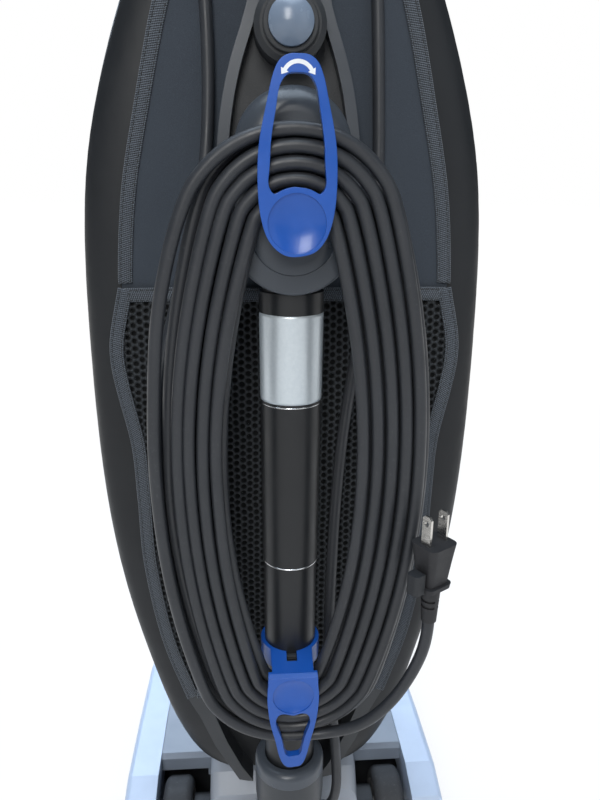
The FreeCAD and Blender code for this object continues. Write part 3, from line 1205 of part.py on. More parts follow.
def make_side_arm():
    """A pale side shell of the head, which runs back past its wheel."""
    inner_x = HEAD_HALF_WIDTH - ARM_WIDTH
    outer = prism_side(arm_profile(0), inner_x, HEAD_HALF_WIDTH)
    outer = outer.common(head_plan(0, 0, HEAD_FRONT_AHEAD, 0, 100))
    long_edges = [e for e in outer.Edges if e.BoundBox.XLength < 0.1 and e.BoundBox.ZMin > 40
                  and e.BoundBox.XMin > HEAD_HALF_WIDTH - 1 and e.BoundBox.YLength > 20]
    outer = outer.makeFillet(5.0, long_edges)
    hollow = prism_side(arm_profile(SKIN), inner_x + SKIN, HEAD_HALF_WIDTH - SKIN)
    hollow = hollow.common(head_plan(SKIN, 0, HEAD_FRONT_AHEAD, 0, 100))
    shell = outer.cut(hollow).cut(chassis_room(ARM_GAP)).cut(brush_chamber(ARM_GAP))
    boss = cyl(AXLE_R + 3.5, 10, at(inner_x, WHEEL_AHEAD, WHEEL_R), SIDE)
    return shell.fuse(boss).cut(cyl(AXLE_R + PRESS_GAP, 9, at(inner_x - 1, WHEEL_AHEAD, WHEEL_R), SIDE))


def make_head_deck():
    """The blue grey hood between the arms, over the brush and the motor bay."""
    half = HEAD_HALF_WIDTH - ARM_WIDTH - ARM_GAP
    rear = DECK_REAR_AHEAD
    front = HEAD_FRONT_AHEAD - 2 * FIT_GAP
    top = DECK_REAR_Z
    outside = [(rear, top - 15), (rear, top - 3), (rear + 4, top), (200, top - 2), (235, top - 7),
               (270, top - 12), (304, top - 22), (front, top - 35), (front, 20)]
    inside = [(front - SKIN, 20), (front - SKIN, top - 37), (302, top - 25), (268, top - 15), (234, top - 10),
              (200, top - 5), (rear + SKIN, top - SKIN - 1), (rear + SKIN, top - 15)]
    deck = prism_side(outside + inside, -half, half)
    edge = MOTOR_COVER_HALF + SEAT_GAP
    bay = block(-edge, edge, rear - 10, MOTOR_COVER_FRONT + SEAT_GAP, 40, 100)
    wall = [(rear, MOTOR_COVER_LOW_Z)] + [(n, z) for n, z in outside[1:5]]
    wall = prism_side(wall + [(MOTOR_COVER_FRONT, top - 12), (MOTOR_COVER_FRONT, MOTOR_COVER_LOW_Z)],
                      edge, edge + SKIN)
    deck = deck.cut(bay).cut(chassis_room(ARM_GAP)).fuse([wall, mirrored(wall)])
    return deck.cut(shaft_slot())


def shaft_slot():
    """The slot that lets the motor's shaft out to its pulley."""
    radius = BRUSH_SHAFT_R + 1
    far = -MOTOR_COVER_HALF + 6
    hole = cyl(radius, 20, at(far - 16, MOTOR_AHEAD, MOTOR_Z), SIDE)
    return hole.fuse(block(far - 16, far + 4, MOTOR_AHEAD - radius, MOTOR_AHEAD + radius, 30, MOTOR_Z))


def make_motor_cover():
    """The light grey cover in the middle, with a round notch for the neck."""
    rear = MOTOR_COVER_REAR
    front = MOTOR_COVER_FRONT
    low = MOTOR_COVER_LOW_Z
    top = MOTOR_COVER_TOP_Z
    profile = [(rear, low), (rear + 1, top - 25), (rear + 12, top - 11), (110, top - 3), (150, top),
               (190, top - 2), (230, top - 13), (front, top - 22), (front, low)]
    half = MOTOR_COVER_HALF
    body = prism_side(profile, -half, half)
    ends = [e for e in body.Edges if e.BoundBox.XLength < 0.1 and e.BoundBox.ZMin > 60]
    body = body.makeFillet(9.0, ends)
    inner = [(rear + SKIN, low - 5)] + [(n + (SKIN if n < 100 else -SKIN if n > 220 else 0), z - SKIN)
                                        for n, z in profile[1:-1]] + [(front - SKIN, low - 5)]
    hollow = prism_side(inner, SKIN - half, half - SKIN)
    notch = cyl(NECK_R + 12, 100, at(0, PIVOT_AHEAD, 40), UP)
    wall = cyl(NECK_R + 15, 100, at(0, PIVOT_AHEAD, 40), UP).cut(notch).common(body)
    return body.cut(hollow).cut(notch).fuse(wall).cut(shaft_slot())


def make_bumper():
    """The dark bumper band round the head's front and sides."""
    outer = head_plan(-BUMPER_THICK, HEAD_REAR_AHEAD + 8, HEAD_FRONT_AHEAD, BUMPER_LOW_Z, BUMPER_TOP_Z)
    return outer.cut(head_plan(-2 * FIT_GAP, HEAD_REAR_AHEAD, HEAD_FRONT_AHEAD, 0, 100))


def make_motor():
    """The motor's can with its two end caps."""
    body = cyl(MOTOR_R, 2 * MOTOR_HALF, at(-MOTOR_HALF, MOTOR_AHEAD, MOTOR_Z), SIDE)
    caps = cyl(MOTOR_R - 9, 2 * MOTOR_HALF + 10, at(-MOTOR_HALF - 5, MOTOR_AHEAD, MOTOR_Z), SIDE)
    return body.fuse(caps).cut(cyl(BRUSH_SHAFT_R + FIT_GAP, 200, at(-100, MOTOR_AHEAD, MOTOR_Z), SIDE))


def make_motor_rotor():
    """The motor's shaft with its cooling fan and the small pulley."""
    end = PULLEY_X - BELT_WIDTH / 2 - 2
    shaft = cyl(BRUSH_SHAFT_R, FAN_X + 8 - end, at(end, MOTOR_AHEAD, MOTOR_Z), SIDE)
    fan = cyl(MOTOR_R - 3, 5, at(FAN_X, MOTOR_AHEAD, MOTOR_Z), SIDE)
    pulley = cyl(PULLEY_R, BELT_WIDTH + 1, at(PULLEY_X - BELT_WIDTH / 2 - 0.5, MOTOR_AHEAD, MOTOR_Z), SIDE)
    rim_r = PULLEY_R + BELT_THICK + 0.6
    rims = [cyl(rim_r, 1, at(PULLEY_X + side * (BELT_WIDTH / 2 + 1) - 0.5, MOTOR_AHEAD, MOTOR_Z), SIDE)
            for side in (-1, 1)]
    return shaft.fuse([fan, pulley] + rims)


def make_drive_belt():
    """The flat belt from the motor's pulley to the brush."""
    def band(extra):
        x0 = PULLEY_X - BELT_WIDTH / 2
        small = at(x0, MOTOR_AHEAD, MOTOR_Z)
        large = at(x0, BRUSH_AHEAD, BRUSH_Z)
        r0 = PULLEY_R + SEAT_GAP + extra
        r1 = BRUSH_CORE_R + SEAT_GAP + extra
        span = large - small
        along = V(span).normalize()
        across = along.cross(SIDE).normalize()
        lean = math.asin((r1 - r0) / span.Length)
        up = across * math.cos(lean) - along * math.sin(lean)
        down = across * -math.cos(lean) - along * math.sin(lean)
        quad = polygon([small + up * r0, large + up * r1, large + down * r1, small + down * r0])
        body = Part.Face(quad).extrude(SIDE * BELT_WIDTH)
        return body.fuse([cyl(r0, BELT_WIDTH, small, SIDE), cyl(r1, BELT_WIDTH, large, SIDE)])
    return band(BELT_THICK).cut(band(0))


def make_brushroll():
    """The brush's core with its shaft ends."""
    roll = cyl(BRUSH_CORE_R, 2 * BRUSH_HALF, at(-BRUSH_HALF, BRUSH_AHEAD, BRUSH_Z), SIDE)
    reach = BRUSH_HALF + BRUSH_SHAFT_REACH
    return roll.fuse(cyl(BRUSH_SHAFT_R, 2 * reach, at(-reach, BRUSH_AHEAD, BRUSH_Z), SIDE))


def make_brush_bristles():
    """Tufts on the roll, in two rows that wind half a turn along it."""
    tufts = []
    first = PULLEY_X + BELT_WIDTH / 2 + 8
    span = BRUSH_HALF - 6 - first
    for row in range(2):
        for k in range(TUFTS):
            angle = math.pi * (row + k / TUFTS)
            out = V(0, math.cos(angle), math.sin(angle))
            foot = at(first + span * k / (TUFTS - 1), BRUSH_AHEAD, BRUSH_Z) + out * (BRUSH_CORE_R + PRESS_GAP)
            tufts.append(cyl(TUFT_R, BRUSH_TIP_R - BRUSH_CORE_R, foot, out))
    return group(tufts)


def make_brush_bearings():
    """The two end bearings of the brush, seated against the tunnel's end walls."""
    near = BRUSH_HALF + 0.4
    ring = cyl(BEARING_R, TUNNEL_HALF - 0.1 - near, at(near, BRUSH_AHEAD, BRUSH_Z), SIDE)
    body = ring.cut(cyl(BRUSH_SHAFT_R + FIT_GAP, 40, at(near - 5, BRUSH_AHEAD, BRUSH_Z), SIDE))
    return group([body, mirrored(body)])


def make_suction_duct():
    """The flat duct under the motor, which rises to meet the neck's barrel."""
    half = DUCT_HALF
    wall = DUCT_WALL
    low = DUCT_LOW_Z
    high = DUCT_HIGH_Z
    flat = block(-half, half, 96, BRUSH_AHEAD - TUNNEL_R - 0.5, low, high)
    hollow = block(wall - half, half - wall, 90, BRUSH_AHEAD, low + wall, high - wall)
    mouth = PIVOT_Z + 8.5
    rise = prism_side([(52, 31), (70, 29), (98, low), (100, low), (100, 46), (70, mouth), (52, mouth)], -half, half)
    rise_hollow = prism_side([(50, 31 + wall), (71, 29 + wall), (99, low + wall), (103, low + wall),
                              (103, high - wall), (97, 43), (70, mouth - wall), (50, mouth - wall)],
                             wall - half, half - wall)
    body = flat.fuse(rise).cut(hollow).cut(rise_hollow)
    return body.cut(cyl(BARREL_R + SEAT_GAP, 100, at(-50, PIVOT_AHEAD, PIVOT_Z), SIDE))


def make_wheel_axles():
    """Two stub axles, each between the rear beam and an arm's boss."""
    length = HEAD_HALF_WIDTH - ARM_WIDTH + 7 - AXLE_IN_X
    axle = cyl(AXLE_R, length, at(AXLE_IN_X, WHEEL_AHEAD, WHEEL_R), SIDE)
    return group([axle, mirrored(axle)])


def make_wheel_hub():
    """A dished hub on its plain bore."""
    half = WHEEL_WIDTH / 2 - 2.5
    hub = cyl(WHEEL_HUB_R, 2 * half, at(WHEEL_X - half, WHEEL_AHEAD, WHEEL_R), SIDE)
    for x, way in ((WHEEL_X - half, SIDE), (WHEEL_X + half, SIDE * -1)):
        dish = cyl(WHEEL_HUB_R - 4, WHEEL_DISH, at(x, WHEEL_AHEAD, WHEEL_R), way)
        hub = hub.cut(dish.cut(cyl(AXLE_R + 4, 60, at(WHEEL_X - 30, WHEEL_AHEAD, WHEEL_R), SIDE)))
    return hub.cut(cyl(AXLE_R + FIT_GAP, 60, at(WHEEL_X - 30, WHEEL_AHEAD, WHEEL_R), SIDE))


def make_wheel_tyre():
    tyre = cyl(WHEEL_R, WHEEL_WIDTH, at(WHEEL_X - WHEEL_WIDTH / 2, WHEEL_AHEAD, WHEEL_R), SIDE)
    tyre = tyre.makeFillet(6.0, [e for e in tyre.Edges if e.BoundBox.XLength < 0.01])
    return tyre.cut(cyl(WHEEL_HUB_R + PRESS_GAP, 60, at(WHEEL_X - 30, WHEEL_AHEAD, WHEEL_R), SIDE))


def make_front_roller():
    roller = cyl(ROLLER_R, 2 * ROLLER_HALF, at(ROLLER_X - ROLLER_HALF, ROLLER_AHEAD, ROLLER_R), SIDE)
    roller = roller.makeFillet(1.5, [e for e in roller.Edges if e.BoundBox.XLength < 0.01])
    return roller.cut(cyl(ROLLER_PIN_R + FIT_GAP, 40, at(ROLLER_X - 20, ROLLER_AHEAD, ROLLER_R), SIDE))


# Cord, plug and the lead to the motor


def make_cord_relief():
    """The tapered strain relief of the power cord."""
    start = gland_point(1)
    sleeve = cyl(RELIEF_R, RELIEF_SLEEVE, start, gland_way(1))
    cone = Part.makeCone(RELIEF_R, RELIEF_TIP_R, RELIEF_LENGTH - RELIEF_SLEEVE,
                         start + gland_way(1) * RELIEF_SLEEVE, gland_way(1))
    return sleeve.fuse(cone)


def route_way(direction):
    """A unit direction from (side, ahead, up) shares."""
    side, ahead, up = direction
    return V(side, -ahead, up).normalize()


def lead_points():
    """The cord from its relief to the winding's left side."""
    start = gland_point(1) + gland_way(1) * RELIEF_LENGTH
    mark = coil_wire()[1][0]
    return [start, start + gland_way(1) * 16.5] + [at(*p) for p in CORD_LEAD_POINTS] + [
        mark[0] - mark[1] * 26, mark[0]]


def tail_points():
    """The cord from the winding's end to the plug's relief."""
    mark = coil_wire()[1][-1]
    foot = at(*PLUG_PLACE)
    return [mark[0], mark[0] + mark[1] * 20] + [at(*p) for p in CORD_TAIL_POINTS] + [foot - UP * 15, foot]


def make_cord_lead():
    return route_tube("cord_lead", lead_points(), CORD_D)


def make_cord_tail():
    return route_tube("cord_tail", tail_points(), CORD_D)


def plug_local(shape):
    """Turn a piece built at the origin and set it on the plug's place."""
    shape = shape.copy()
    shape.rotate(V(0, 0, 0), UP, PLUG_TURN)
    shape.translate(at(*PLUG_PLACE))
    return shape


def plug_section(half_x, half_y, z):
    """The wire of a round cornered rectangle across the plug's axis."""
    radius = min(half_x, half_y) * 0.45
    body = Part.makeBox(2 * half_x, 2 * half_y, 1, V(-half_x, -half_y, z))
    body = body.makeFillet(radius, [e for e in body.Edges if e.BoundBox.ZLength > 0.5])
    return [f for f in body.Faces if f.CenterOfMass.z < z + 0.01][0].OuterWire


def make_cord_plug():
    """The moulded plug: a grooved relief, a flange and a flared body."""
    relief = Part.makeCone(4.4, 5.6, PLUG_RELIEF, V(0, 0, 0), UP)
    for z in (9.5, 13.5):
        ring = cyl(9, 1.6, V(0, 0, z), UP).cut(cyl(4.1, 2, V(0, 0, z), UP))
        relief = relief.cut(ring.cut(Part.makeBox(2.4, 30, 3, V(-1.2, -15, z - 0.5))))
    low = PLUG_RELIEF
    flange = Part.makeLoft([plug_section(9.0, 7.5, low), plug_section(9.4, 8.0, low + 3)], True)
    body = Part.makeLoft([plug_section(7.4, 6.4, low + 3), plug_section(8.6, 7.6, low + 14),
                          plug_section(10.4, 9.4, PLUG_LENGTH)], True)
    return plug_local(relief.fuse([flange, body]))


def make_plug_blades():
    """Two flat blades, each with a hole near its tip."""
    blades = []
    for x in (-BLADE_SPREAD / 2, BLADE_SPREAD / 2):
        blade = Part.makeBox(1.5, 6.4, BLADE_LENGTH, V(x - 0.75, -3.2, PLUG_LENGTH))
        blade = blade.makeChamfer(1.6, [e for e in blade.Edges if e.BoundBox.XLength > 1
                                        and e.BoundBox.ZMin > PLUG_LENGTH + 10])
        blades.append(blade.cut(cyl(1.5, 10, V(x - 5, 0, PLUG_LENGTH + 13), SIDE)))
    return plug_local(group(blades))


def make_cord_clip():
    """The small moulded clip between the plug and the run of cord beside it."""
    shape = Part.makeBox(7.0, 8.0, 12.0, V(9.45, -4.0, 22.5))
    shape = shape.makeFillet(2.0, [e for e in shape.Edges if e.BoundBox.ZLength > 5
                                   and e.BoundBox.XMin > 12])
    return plug_local(shape)


def harness_route():
    """The lead from the spine's gland, behind the panel's face, to the boss on the neck."""
    way = gland_way(-1)
    start = gland_point(-1)
    down = route_way(GROMMET_DIRECTION)
    end = at(*GROMMET) + down * (LEAD_D - SEAT_GAP)
    return [start, start + way * 17.5] + [at(*p) for p in HARNESS_POINTS] + [end - down * 16.5, end]


def make_harness_lead():
    return route_tube("harness_lead", harness_route(), LEAD_D)


def make_harness_clips():
    """Clips that hold the lead to the back panel."""
    clips = []
    for x, ahead, z in CLIP_PLACES:
        ring = cyl(LEAD_D / 2 + 1.7, 7, at(x, ahead, z - 3.5), UP)
        foot = block(x - 2.5, x + 2.5, ahead + 4, PANEL_BACK - SEAT_GAP, z - 3.5, z + 3.5)
        clips.append(ring.fuse(foot).cut(cyl(LEAD_D / 2 + 0.8, 9, at(x, ahead, z - 4.5), UP)))
    return group(clips)


def build_all():
    hub = make_wheel_hub()
    tyre = make_wheel_tyre()
    arm = make_side_arm()
    roller = make_front_roller()
    shapes = {
        "head_chassis": make_head_chassis(),
        "nozzle_plate": make_nozzle_plate(),
        "side_arm_left": arm,
        "side_arm_right": mirrored(arm),
        "head_deck": make_head_deck(),
        "motor_cover": make_motor_cover(),
        "bumper": make_bumper(),
        "motor": make_motor(),
        "motor_rotor": make_motor_rotor(),
        "drive_belt": make_drive_belt(),
        "brushroll": make_brushroll(),
        "brush_bristles": make_brush_bristles(),
        "brush_bearings": make_brush_bearings(),
        "suction_duct": make_suction_duct(),
        "wheel_axles": make_wheel_axles(),
        "wheel_hub_left": hub,
        "wheel_hub_right": mirrored(hub),
        "wheel_tyre_left": tyre,
        "wheel_tyre_right": mirrored(tyre),
        "front_roller_left": roller,
        "front_roller_right": mirrored(roller),
        "neck_yoke": make_neck_yoke(),
        "tilt_pins": make_tilt_pins(),
        "neck": make_neck(),
        "neck_collar": make_neck_collar(),
        "lower_tube": make_lower_tube(),
        "upper_sleeve": make_upper_sleeve(),
        "lower_hook": make_lower_hook(),
        "hook_catch": make_hook_catch(),
        "elbow": make_elbow(),
        "elbow_lip": make_elbow_lip(),
        "upper_hook": make_upper_hook(),
        "spine_plate": make_spine_plate(),
        "spine_rails": make_spine_rails(),
        "release_button": make_release_button(),
        "button_spring": make_button_spring(),
        "handle_tube": make_handle_tube(),
        "handle_grip": make_handle_grip(),
        "grip_pad": make_grip_pad(),
        "power_switch": make_power_switch(),
        "rim_frame": make_rim_frame(),
        "back_panel": make_back_panel(),
        "panel_binding": make_panel_binding(),
        "mesh_pocket": make_mesh_pocket(),
        "trim_strips": make_trim_strips(),
        "front_cover": make_front_cover(),
        "hinge_pin": make_hinge_pin(),
        "cover_latch": make_cover_latch(),
        "dust_bag": make_dust_bag(),
        "bag_dock": make_bag_dock(),
        "housing_screws": make_housing_screws(),
        "cord_relief": make_cord_relief(),
        "cord_lead": make_cord_lead(),
        "cord_winding": make_winding(),
        "cord_tail": make_cord_tail(),
        "cord_plug": make_cord_plug(),
        "plug_blades": make_plug_blades(),
        "cord_clip": make_cord_clip(),
        "harness_lead": make_harness_lead(),
        "harness_clips": make_harness_clips(),
    }
    return shapes


if __name__ == "__main__":
    os.makedirs("parts", exist_ok=True)
    for name, shape in build_all().items():
        export(name, shape)
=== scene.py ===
"""Looks of the upright bagged vacuum cleaner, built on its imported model. Metres, +Z up, +Y is the back."""
import math

import bmesh
import bpy
from mathutils import Matrix, Vector, noise


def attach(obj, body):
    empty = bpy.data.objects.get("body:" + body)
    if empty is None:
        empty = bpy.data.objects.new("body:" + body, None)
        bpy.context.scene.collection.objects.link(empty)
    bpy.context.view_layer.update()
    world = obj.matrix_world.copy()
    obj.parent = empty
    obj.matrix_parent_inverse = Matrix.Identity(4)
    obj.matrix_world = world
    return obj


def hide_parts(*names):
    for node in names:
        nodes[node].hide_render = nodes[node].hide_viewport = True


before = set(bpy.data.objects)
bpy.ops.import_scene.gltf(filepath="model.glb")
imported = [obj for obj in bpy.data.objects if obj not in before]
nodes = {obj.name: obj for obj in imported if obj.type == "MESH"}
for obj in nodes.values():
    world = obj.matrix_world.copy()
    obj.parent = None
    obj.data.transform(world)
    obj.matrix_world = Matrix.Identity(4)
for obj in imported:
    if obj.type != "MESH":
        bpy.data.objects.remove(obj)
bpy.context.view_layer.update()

TUBE_Y = 135.0          # the duct tube's axis, in mm behind the origin


def at(x, ahead, z):
    """A point in metres from its side, its distance ahead of the duct tube's axis and its height, in mm."""
    return Vector((x / 1000, (TUBE_Y - ahead) / 1000, z / 1000))


# Camera: behind the cleaner, a little above it and towards +X, looking down

YAW = math.radians(4.25)
PITCH = math.radians(17.5)
ROLL = math.radians(0.49)
SENSOR_MM = 36
LENS_MM = 30.6
CAMERA_SPOT = at(22.6, -375.3, 549.3)
look = Vector((-math.sin(YAW) * math.cos(PITCH), -math.cos(YAW) * math.cos(PITCH), -math.sin(PITCH)))
right = Vector((-math.cos(YAW), math.sin(YAW), 0))
up = right.cross(look)
side = right * math.cos(ROLL) + up * math.sin(ROLL)
top = up * math.cos(ROLL) - right * math.sin(ROLL)
camera_data = bpy.data.cameras.new("camera")
camera_data.sensor_fit = "VERTICAL"
camera_data.sensor_height = SENSOR_MM
camera_data.lens = LENS_MM
camera_data.clip_start = 0.01
camera = bpy.data.objects.new("camera", camera_data)
bpy.context.scene.collection.objects.link(camera)
turn = Matrix((side, top, -look)).transposed().to_4x4()
camera.matrix_world = Matrix.Translation(CAMERA_SPOT) @ turn
bpy.context.scene.camera = camera
bpy.context.scene.view_settings.view_transform = "Standard"


# Node helpers


class Shader:
    """A material's node tree round one Principled shader, with a short call for each kind of node."""

    def __init__(self, name):
        self.material = bpy.data.materials.new(name)
        self.material.use_nodes = True
        self.tree = self.material.node_tree
        self.base = self.tree.nodes["Principled BSDF"]
        self.where = self.tree.nodes.new("ShaderNodeTexCoord")

    def add(self, kind, links=(), **values):
        node = self.tree.nodes.new("ShaderNode" + kind)
        for name, value in values.items():
            if hasattr(node, name):
                setattr(node, name, value)
            else:
                node.inputs[name.replace("_", " ")].default_value = value
        for socket, source in dict(links).items():
            self.tree.links.new(source, node.inputs[socket])
        return node

    def plug(self, socket, source):
        self.tree.links.new(source, self.base.inputs[socket])

    def set(self, **values):
        for name, value in values.items():
            self.base.inputs[name.replace("_", " ")].default_value = value

    def noise(self, scale, detail=3.0, roughness=0.5, vector=None):
        vector = vector or self.where.outputs["Object"]
        node = self.add("TexNoise", {"Vector": vector}, Scale=scale, Detail=detail, Roughness=roughness)
        return node.outputs["Fac"]

    def spread(self, value, low, high, to_low, to_high):
        node = self.add("MapRange", {"Value": value})
        for name, number in (("From Min", low), ("From Max", high), ("To Min", to_low), ("To Max", to_high)):
            node.inputs[name].default_value = number
        return node.outputs["Result"]

    def math(self, operation, first, second=None):
        node = self.add("Math", operation=operation)
        for index, value in enumerate((first, second)):
            if value is None:
                continue
            if isinstance(value, (int, float)):
                node.inputs[index].default_value = value
            else:
                self.tree.links.new(value, node.inputs[index])
        return node.outputs["Value"]

    def mix(self, factor, first, second):
        node = self.add("Mix", data_type="RGBA")
        for index, value in ((0, factor), (6, first), (7, second)):
            if isinstance(value, (int, float, tuple)):
                node.inputs[index].default_value = value
            else:
                self.tree.links.new(value, node.inputs[index])
        return node.outputs[2]

    def bump(self, height, strength, distance, normal=None):
        node = self.add("Bump", {"Height": height}, Strength=strength, Distance=distance)
        if normal:
            self.tree.links.new(normal, node.inputs["Normal"])
        return node.outputs["Normal"]


def shade(colour, factor):
    """A colour made lighter or darker, with its alpha at one."""
    return tuple(min(1.0, c * factor) for c in colour[:3]) + (1.0,)


def plastic(name, colour, rough=0.42, grain=1500, depth=0.25, mottle=0.10, coat=0.0, edge=0.0006,
            edge_wear_and_highlight=0.25, shine=0.4):
    """Moulded plastic: fine grain, uneven gloss, faint mottling, softened edges that are painted lighter,
    partly wear and partly a painted highlight.
    """
    s = Shader(name)
    cloud = s.noise(11, 5, 0.6)
    tone = s.mix(s.spread(cloud, 0.3, 0.7, 0, 1), shade(colour, 1 - mottle), shade(colour, 1 + mottle))
    bevel = s.add("Bevel", Radius=edge, samples=4)
    flat = s.add("NewGeometry")
    facing = s.add("VectorMath", {0: bevel.outputs["Normal"], 1: flat.outputs["Normal"]},
                   operation="DOT_PRODUCT")
    # Edges found by the bevel normal are painted lighter: partly wear, partly a painted edge highlight.
    worn_and_lit_edge = s.math("MULTIPLY", s.spread(facing.outputs["Value"], 0.995, 0.9, 0, edge_wear_and_highlight), s.noise(90, 4, 0.7))
    s.plug("Base Color", s.mix(worn_and_lit_edge, tone, shade(colour, 1.9)))
    s.plug("Roughness", s.spread(s.noise(35, 4, 0.65), 0.3, 0.7, rough - 0.07, rough + 0.08))
    s.plug("Normal", s.bump(s.noise(grain, 2, 0.5), depth, 0.0002, bevel.outputs["Normal"]))
    s.set(Coat_Weight=coat, Coat_Roughness=0.12, IOR=1.5, Specular_IOR_Level=shine)
    return s.material


def metal(name, colour, rough=0.3, stretch=(1, 1, 30)):
    """Drawn or turned metal with fine lines along its stretch."""
    s = Shader(name)
    way = s.add("Mapping", {"Vector": s.where.outputs["Object"]})
    way.inputs["Scale"].default_value = stretch
    lines = s.noise(240, 4, 0.6, way.outputs["Vector"])
    s.plug("Base Color", s.mix(lines, shade(colour, 0.86), shade(colour, 1.08)))
    s.plug("Roughness", s.spread(lines, 0.3, 0.7, rough - 0.08, rough + 0.1))
    s.plug("Normal", s.bump(lines, 0.08, 0.0001))
    s.set(Metallic=1.0)
    return s.material


def rubber(name, colour, rough=0.62, grain=700, depth=0.3, lint=0.12):
    """Soft black rubber or cable jacket with dust and a dull sheen."""
    s = Shader(name)
    dust = s.spread(s.noise(420, 5, 0.75), 0.58, 0.75, 0, lint)
    cloud = s.mix(s.noise(16, 4, 0.6), shade(colour, 0.8), shade(colour, 1.25))
    s.plug("Base Color", s.mix(dust, cloud, (0.22, 0.22, 0.225, 1)))
    s.plug("Roughness", s.spread(s.noise(60, 3, 0.6), 0.3, 0.7, rough - 0.1, rough + 0.1))
    s.plug("Normal", s.bump(s.noise(grain, 3, 0.6), depth, 0.00012))
    s.set(Specular_IOR_Level=0.4)
    return s.material


# Cords: each is one NURBS line through the part's own route points

CORD_DIAMETER = 0.007

def cord_curve(name, points, diameter, material):
    """A round cord along one NURBS spline whose control points are given in mm."""
    data = bpy.data.curves.new(name, "CURVE")
    data.dimensions = "3D"
    data.resolution_u = 7
    data.bevel_depth = diameter / 2
    data.bevel_resolution = 5
    data.use_fill_caps = True
    spline = data.splines.new("NURBS")
    spline.points.add(len(points) - 1)
    for point, (x, y, z) in zip(spline.points, points):
        point.co = (x / 1000, y / 1000, z / 1000, 1)
    spline.order_u = 3
    spline.use_endpoint_u = True
    piece = bpy.data.objects.new(name, data)
    bpy.context.scene.collection.objects.link(piece)
    data.materials.append(material)
    return piece


LEAD_POINTS = [(31.6, 100.4, 720.1), (41.3, 98.4, 706.8), (46.0, 97.0, 688.0), (45.6, 96.1, 664.0),
               (44.0, 95.7, 628.0), (44.4, 96.2, 590.0), (48.0, 100.0, 552.0), (55.5, 112.0, 516.0),
               (64.5, 130.0, 484.0), (71.0, 145.5, 456.0), (74.4, 159.6, 423.2)]
TAIL_POINTS = [(-20.0, 162.6, 215.9), (-43.0, 168.5, 226.0), (-60.0, 172.5, 246.0), (-71.0, 177.5, 272.0),
               (-77.0, 181.5, 297.0), (-77.0, 181.5, 312.0)]
HARNESS_POINTS = [(-16.5, 103.5, 741.0), (-26.7, 101.4, 726.9), (-36.5, 99.2, 711.0), (-43.5, 97.6, 692.0),
                  (-47.3, 96.8, 667.0), (-49.4, 96.5, 636.0), (-51.3, 96.7, 600.0), (-52.8, 97.4, 562.0),
                  (-51.8, 99.0, 526.0), (-47.5, 101.5, 484.0), (-40.5, 104.5, 440.0), (-34.0, 109.0, 396.0),
                  (-30.0, 115.0, 352.0), (-28.0, 120.0, 308.0), (-26.5, 124.0, 264.0), (-28.0, 126.5, 222.0),
                  (-31.5, 128.0, 186.0), (-34.0, 129.2, 156.0), (-34.6, 129.0, 132.0), (-30.8, 124.9, 113.6),
                  (-24.4, 116.6, 100.8)]

# The winding: five turns in on the tube, then five out on top of them, between the two hooks
TURNS = 5
QUARTERS = 4 * TURNS
PITCH_MM = 7.6
HALF_X = 74.0
HALF_Z = 183.25
MIDDLE_Z = 397.25
LOW_AHEAD = -20.0
TILT = 7.3 / 318.1
END_RADIUS = 56.0
ARM_SHARE = 0.735
# Where the points lie along a quarter's wide arc and its tight arc, as shares of each
WIDE_STEPS = (0.12, 0.37, 0.62, 0.86)
TIGHT_STEPS = (0.07, 0.26, 0.44, 0.62, 0.80, 0.95)
# How far a strand is moved outwards, in mm, for each half pitch from the outside in. Values between two
# entries are read off a straight line, and only the size of the result counts.
LEFT_SHIFTS = (2.0, -0.3, -2.6, -3.4, -4.2, -4.3, -4.4, -4.3, -4.2, -4.1, -4.0)
LEFT_TOP_SHIFTS = (2.0, 5.8, 3.0, -0.3, -1.2, -2.0, -2.1, -2.2, -2.1, -2.4, -4.0)
RIGHT_SHIFTS = (-2.6, -2.8, -3.0, -3.0, -3.0, -2.9, -2.8, -2.6, -2.4, -2.2, -2.0)
# The top layer's outermost strand bulges on the left
BULGE_DEPTH = 7
BULGE_MM = 3.0
BULGE_Z = 505.0
BULGE_SPREAD = 45.0


def coil_spot(x, height, layer):
    """A place on the winding's slanted plane, in mm, at a height above its middle."""
    ahead = LOW_AHEAD - TILT * (height + HALF_Z) - layer * PITCH_MM
    return Vector((x, TUBE_Y - ahead, MIDDLE_Z + height))


def coil_corner(quarter, inset, layer):
    """The winding's place and heading at a quarter: 0 left, 1 bottom, 2 right, 3 top."""
    x, z = ((HALF_X - inset, 0), (0, inset - HALF_Z), (inset - HALF_X, 0), (0, HALF_Z - inset))[quarter % 4]
    step_x, step_z = ((0, -1), (-1, 0), (0, 1), (1, 0))[quarter % 4]
    spot = coil_spot(x, z, layer)
    return spot, (coil_spot(x + step_x, z + step_z, layer) - spot).normalized()


def arc_steps(start, corner, end, shares):
    """Points of the arc that leaves start towards the corner and reaches the end."""
    weight = math.cos((corner - start).angle(end - corner) / 2)
    out = []
    for t in shares:
        a, b, c = (1 - t) ** 2, 2 * weight * t * (1 - t), t * t
        out.append((start * a + corner * b + end * c) / (a + b + c))
    return out


def quarter_steps(p0, t0, p1, t1, arm, tight_last):
    """Points along a quarter turn: one wide arc down the side and one tight arc round the end."""
    if not tight_last:
        return quarter_steps(p1, -t1, p0, -t0, arm, True)[::-1]
    span = p1 - p0
    arm0 = (span.dot(span) / 2 - arm * span.dot(t1)) / (span.dot(t0) + arm * (1 - t0.dot(t1)))
    a, b = p0 + t0 * arm0, p1 - t1 * arm
    joint = a + (b - a) * (arm0 / (arm0 + arm))
    return arc_steps(p0, a, joint, WIDE_STEPS) + arc_steps(joint, b, p1, TIGHT_STEPS)


def shift_at(shifts, inset):
    """A table's value at an inset, between its entries for each half pitch."""
    place = min(max(2 * inset / PITCH_MM, 0), len(shifts) - 1.001)
    low = int(place)
    return shifts[low] + (shifts[low + 1] - shifts[low]) * (place - low)


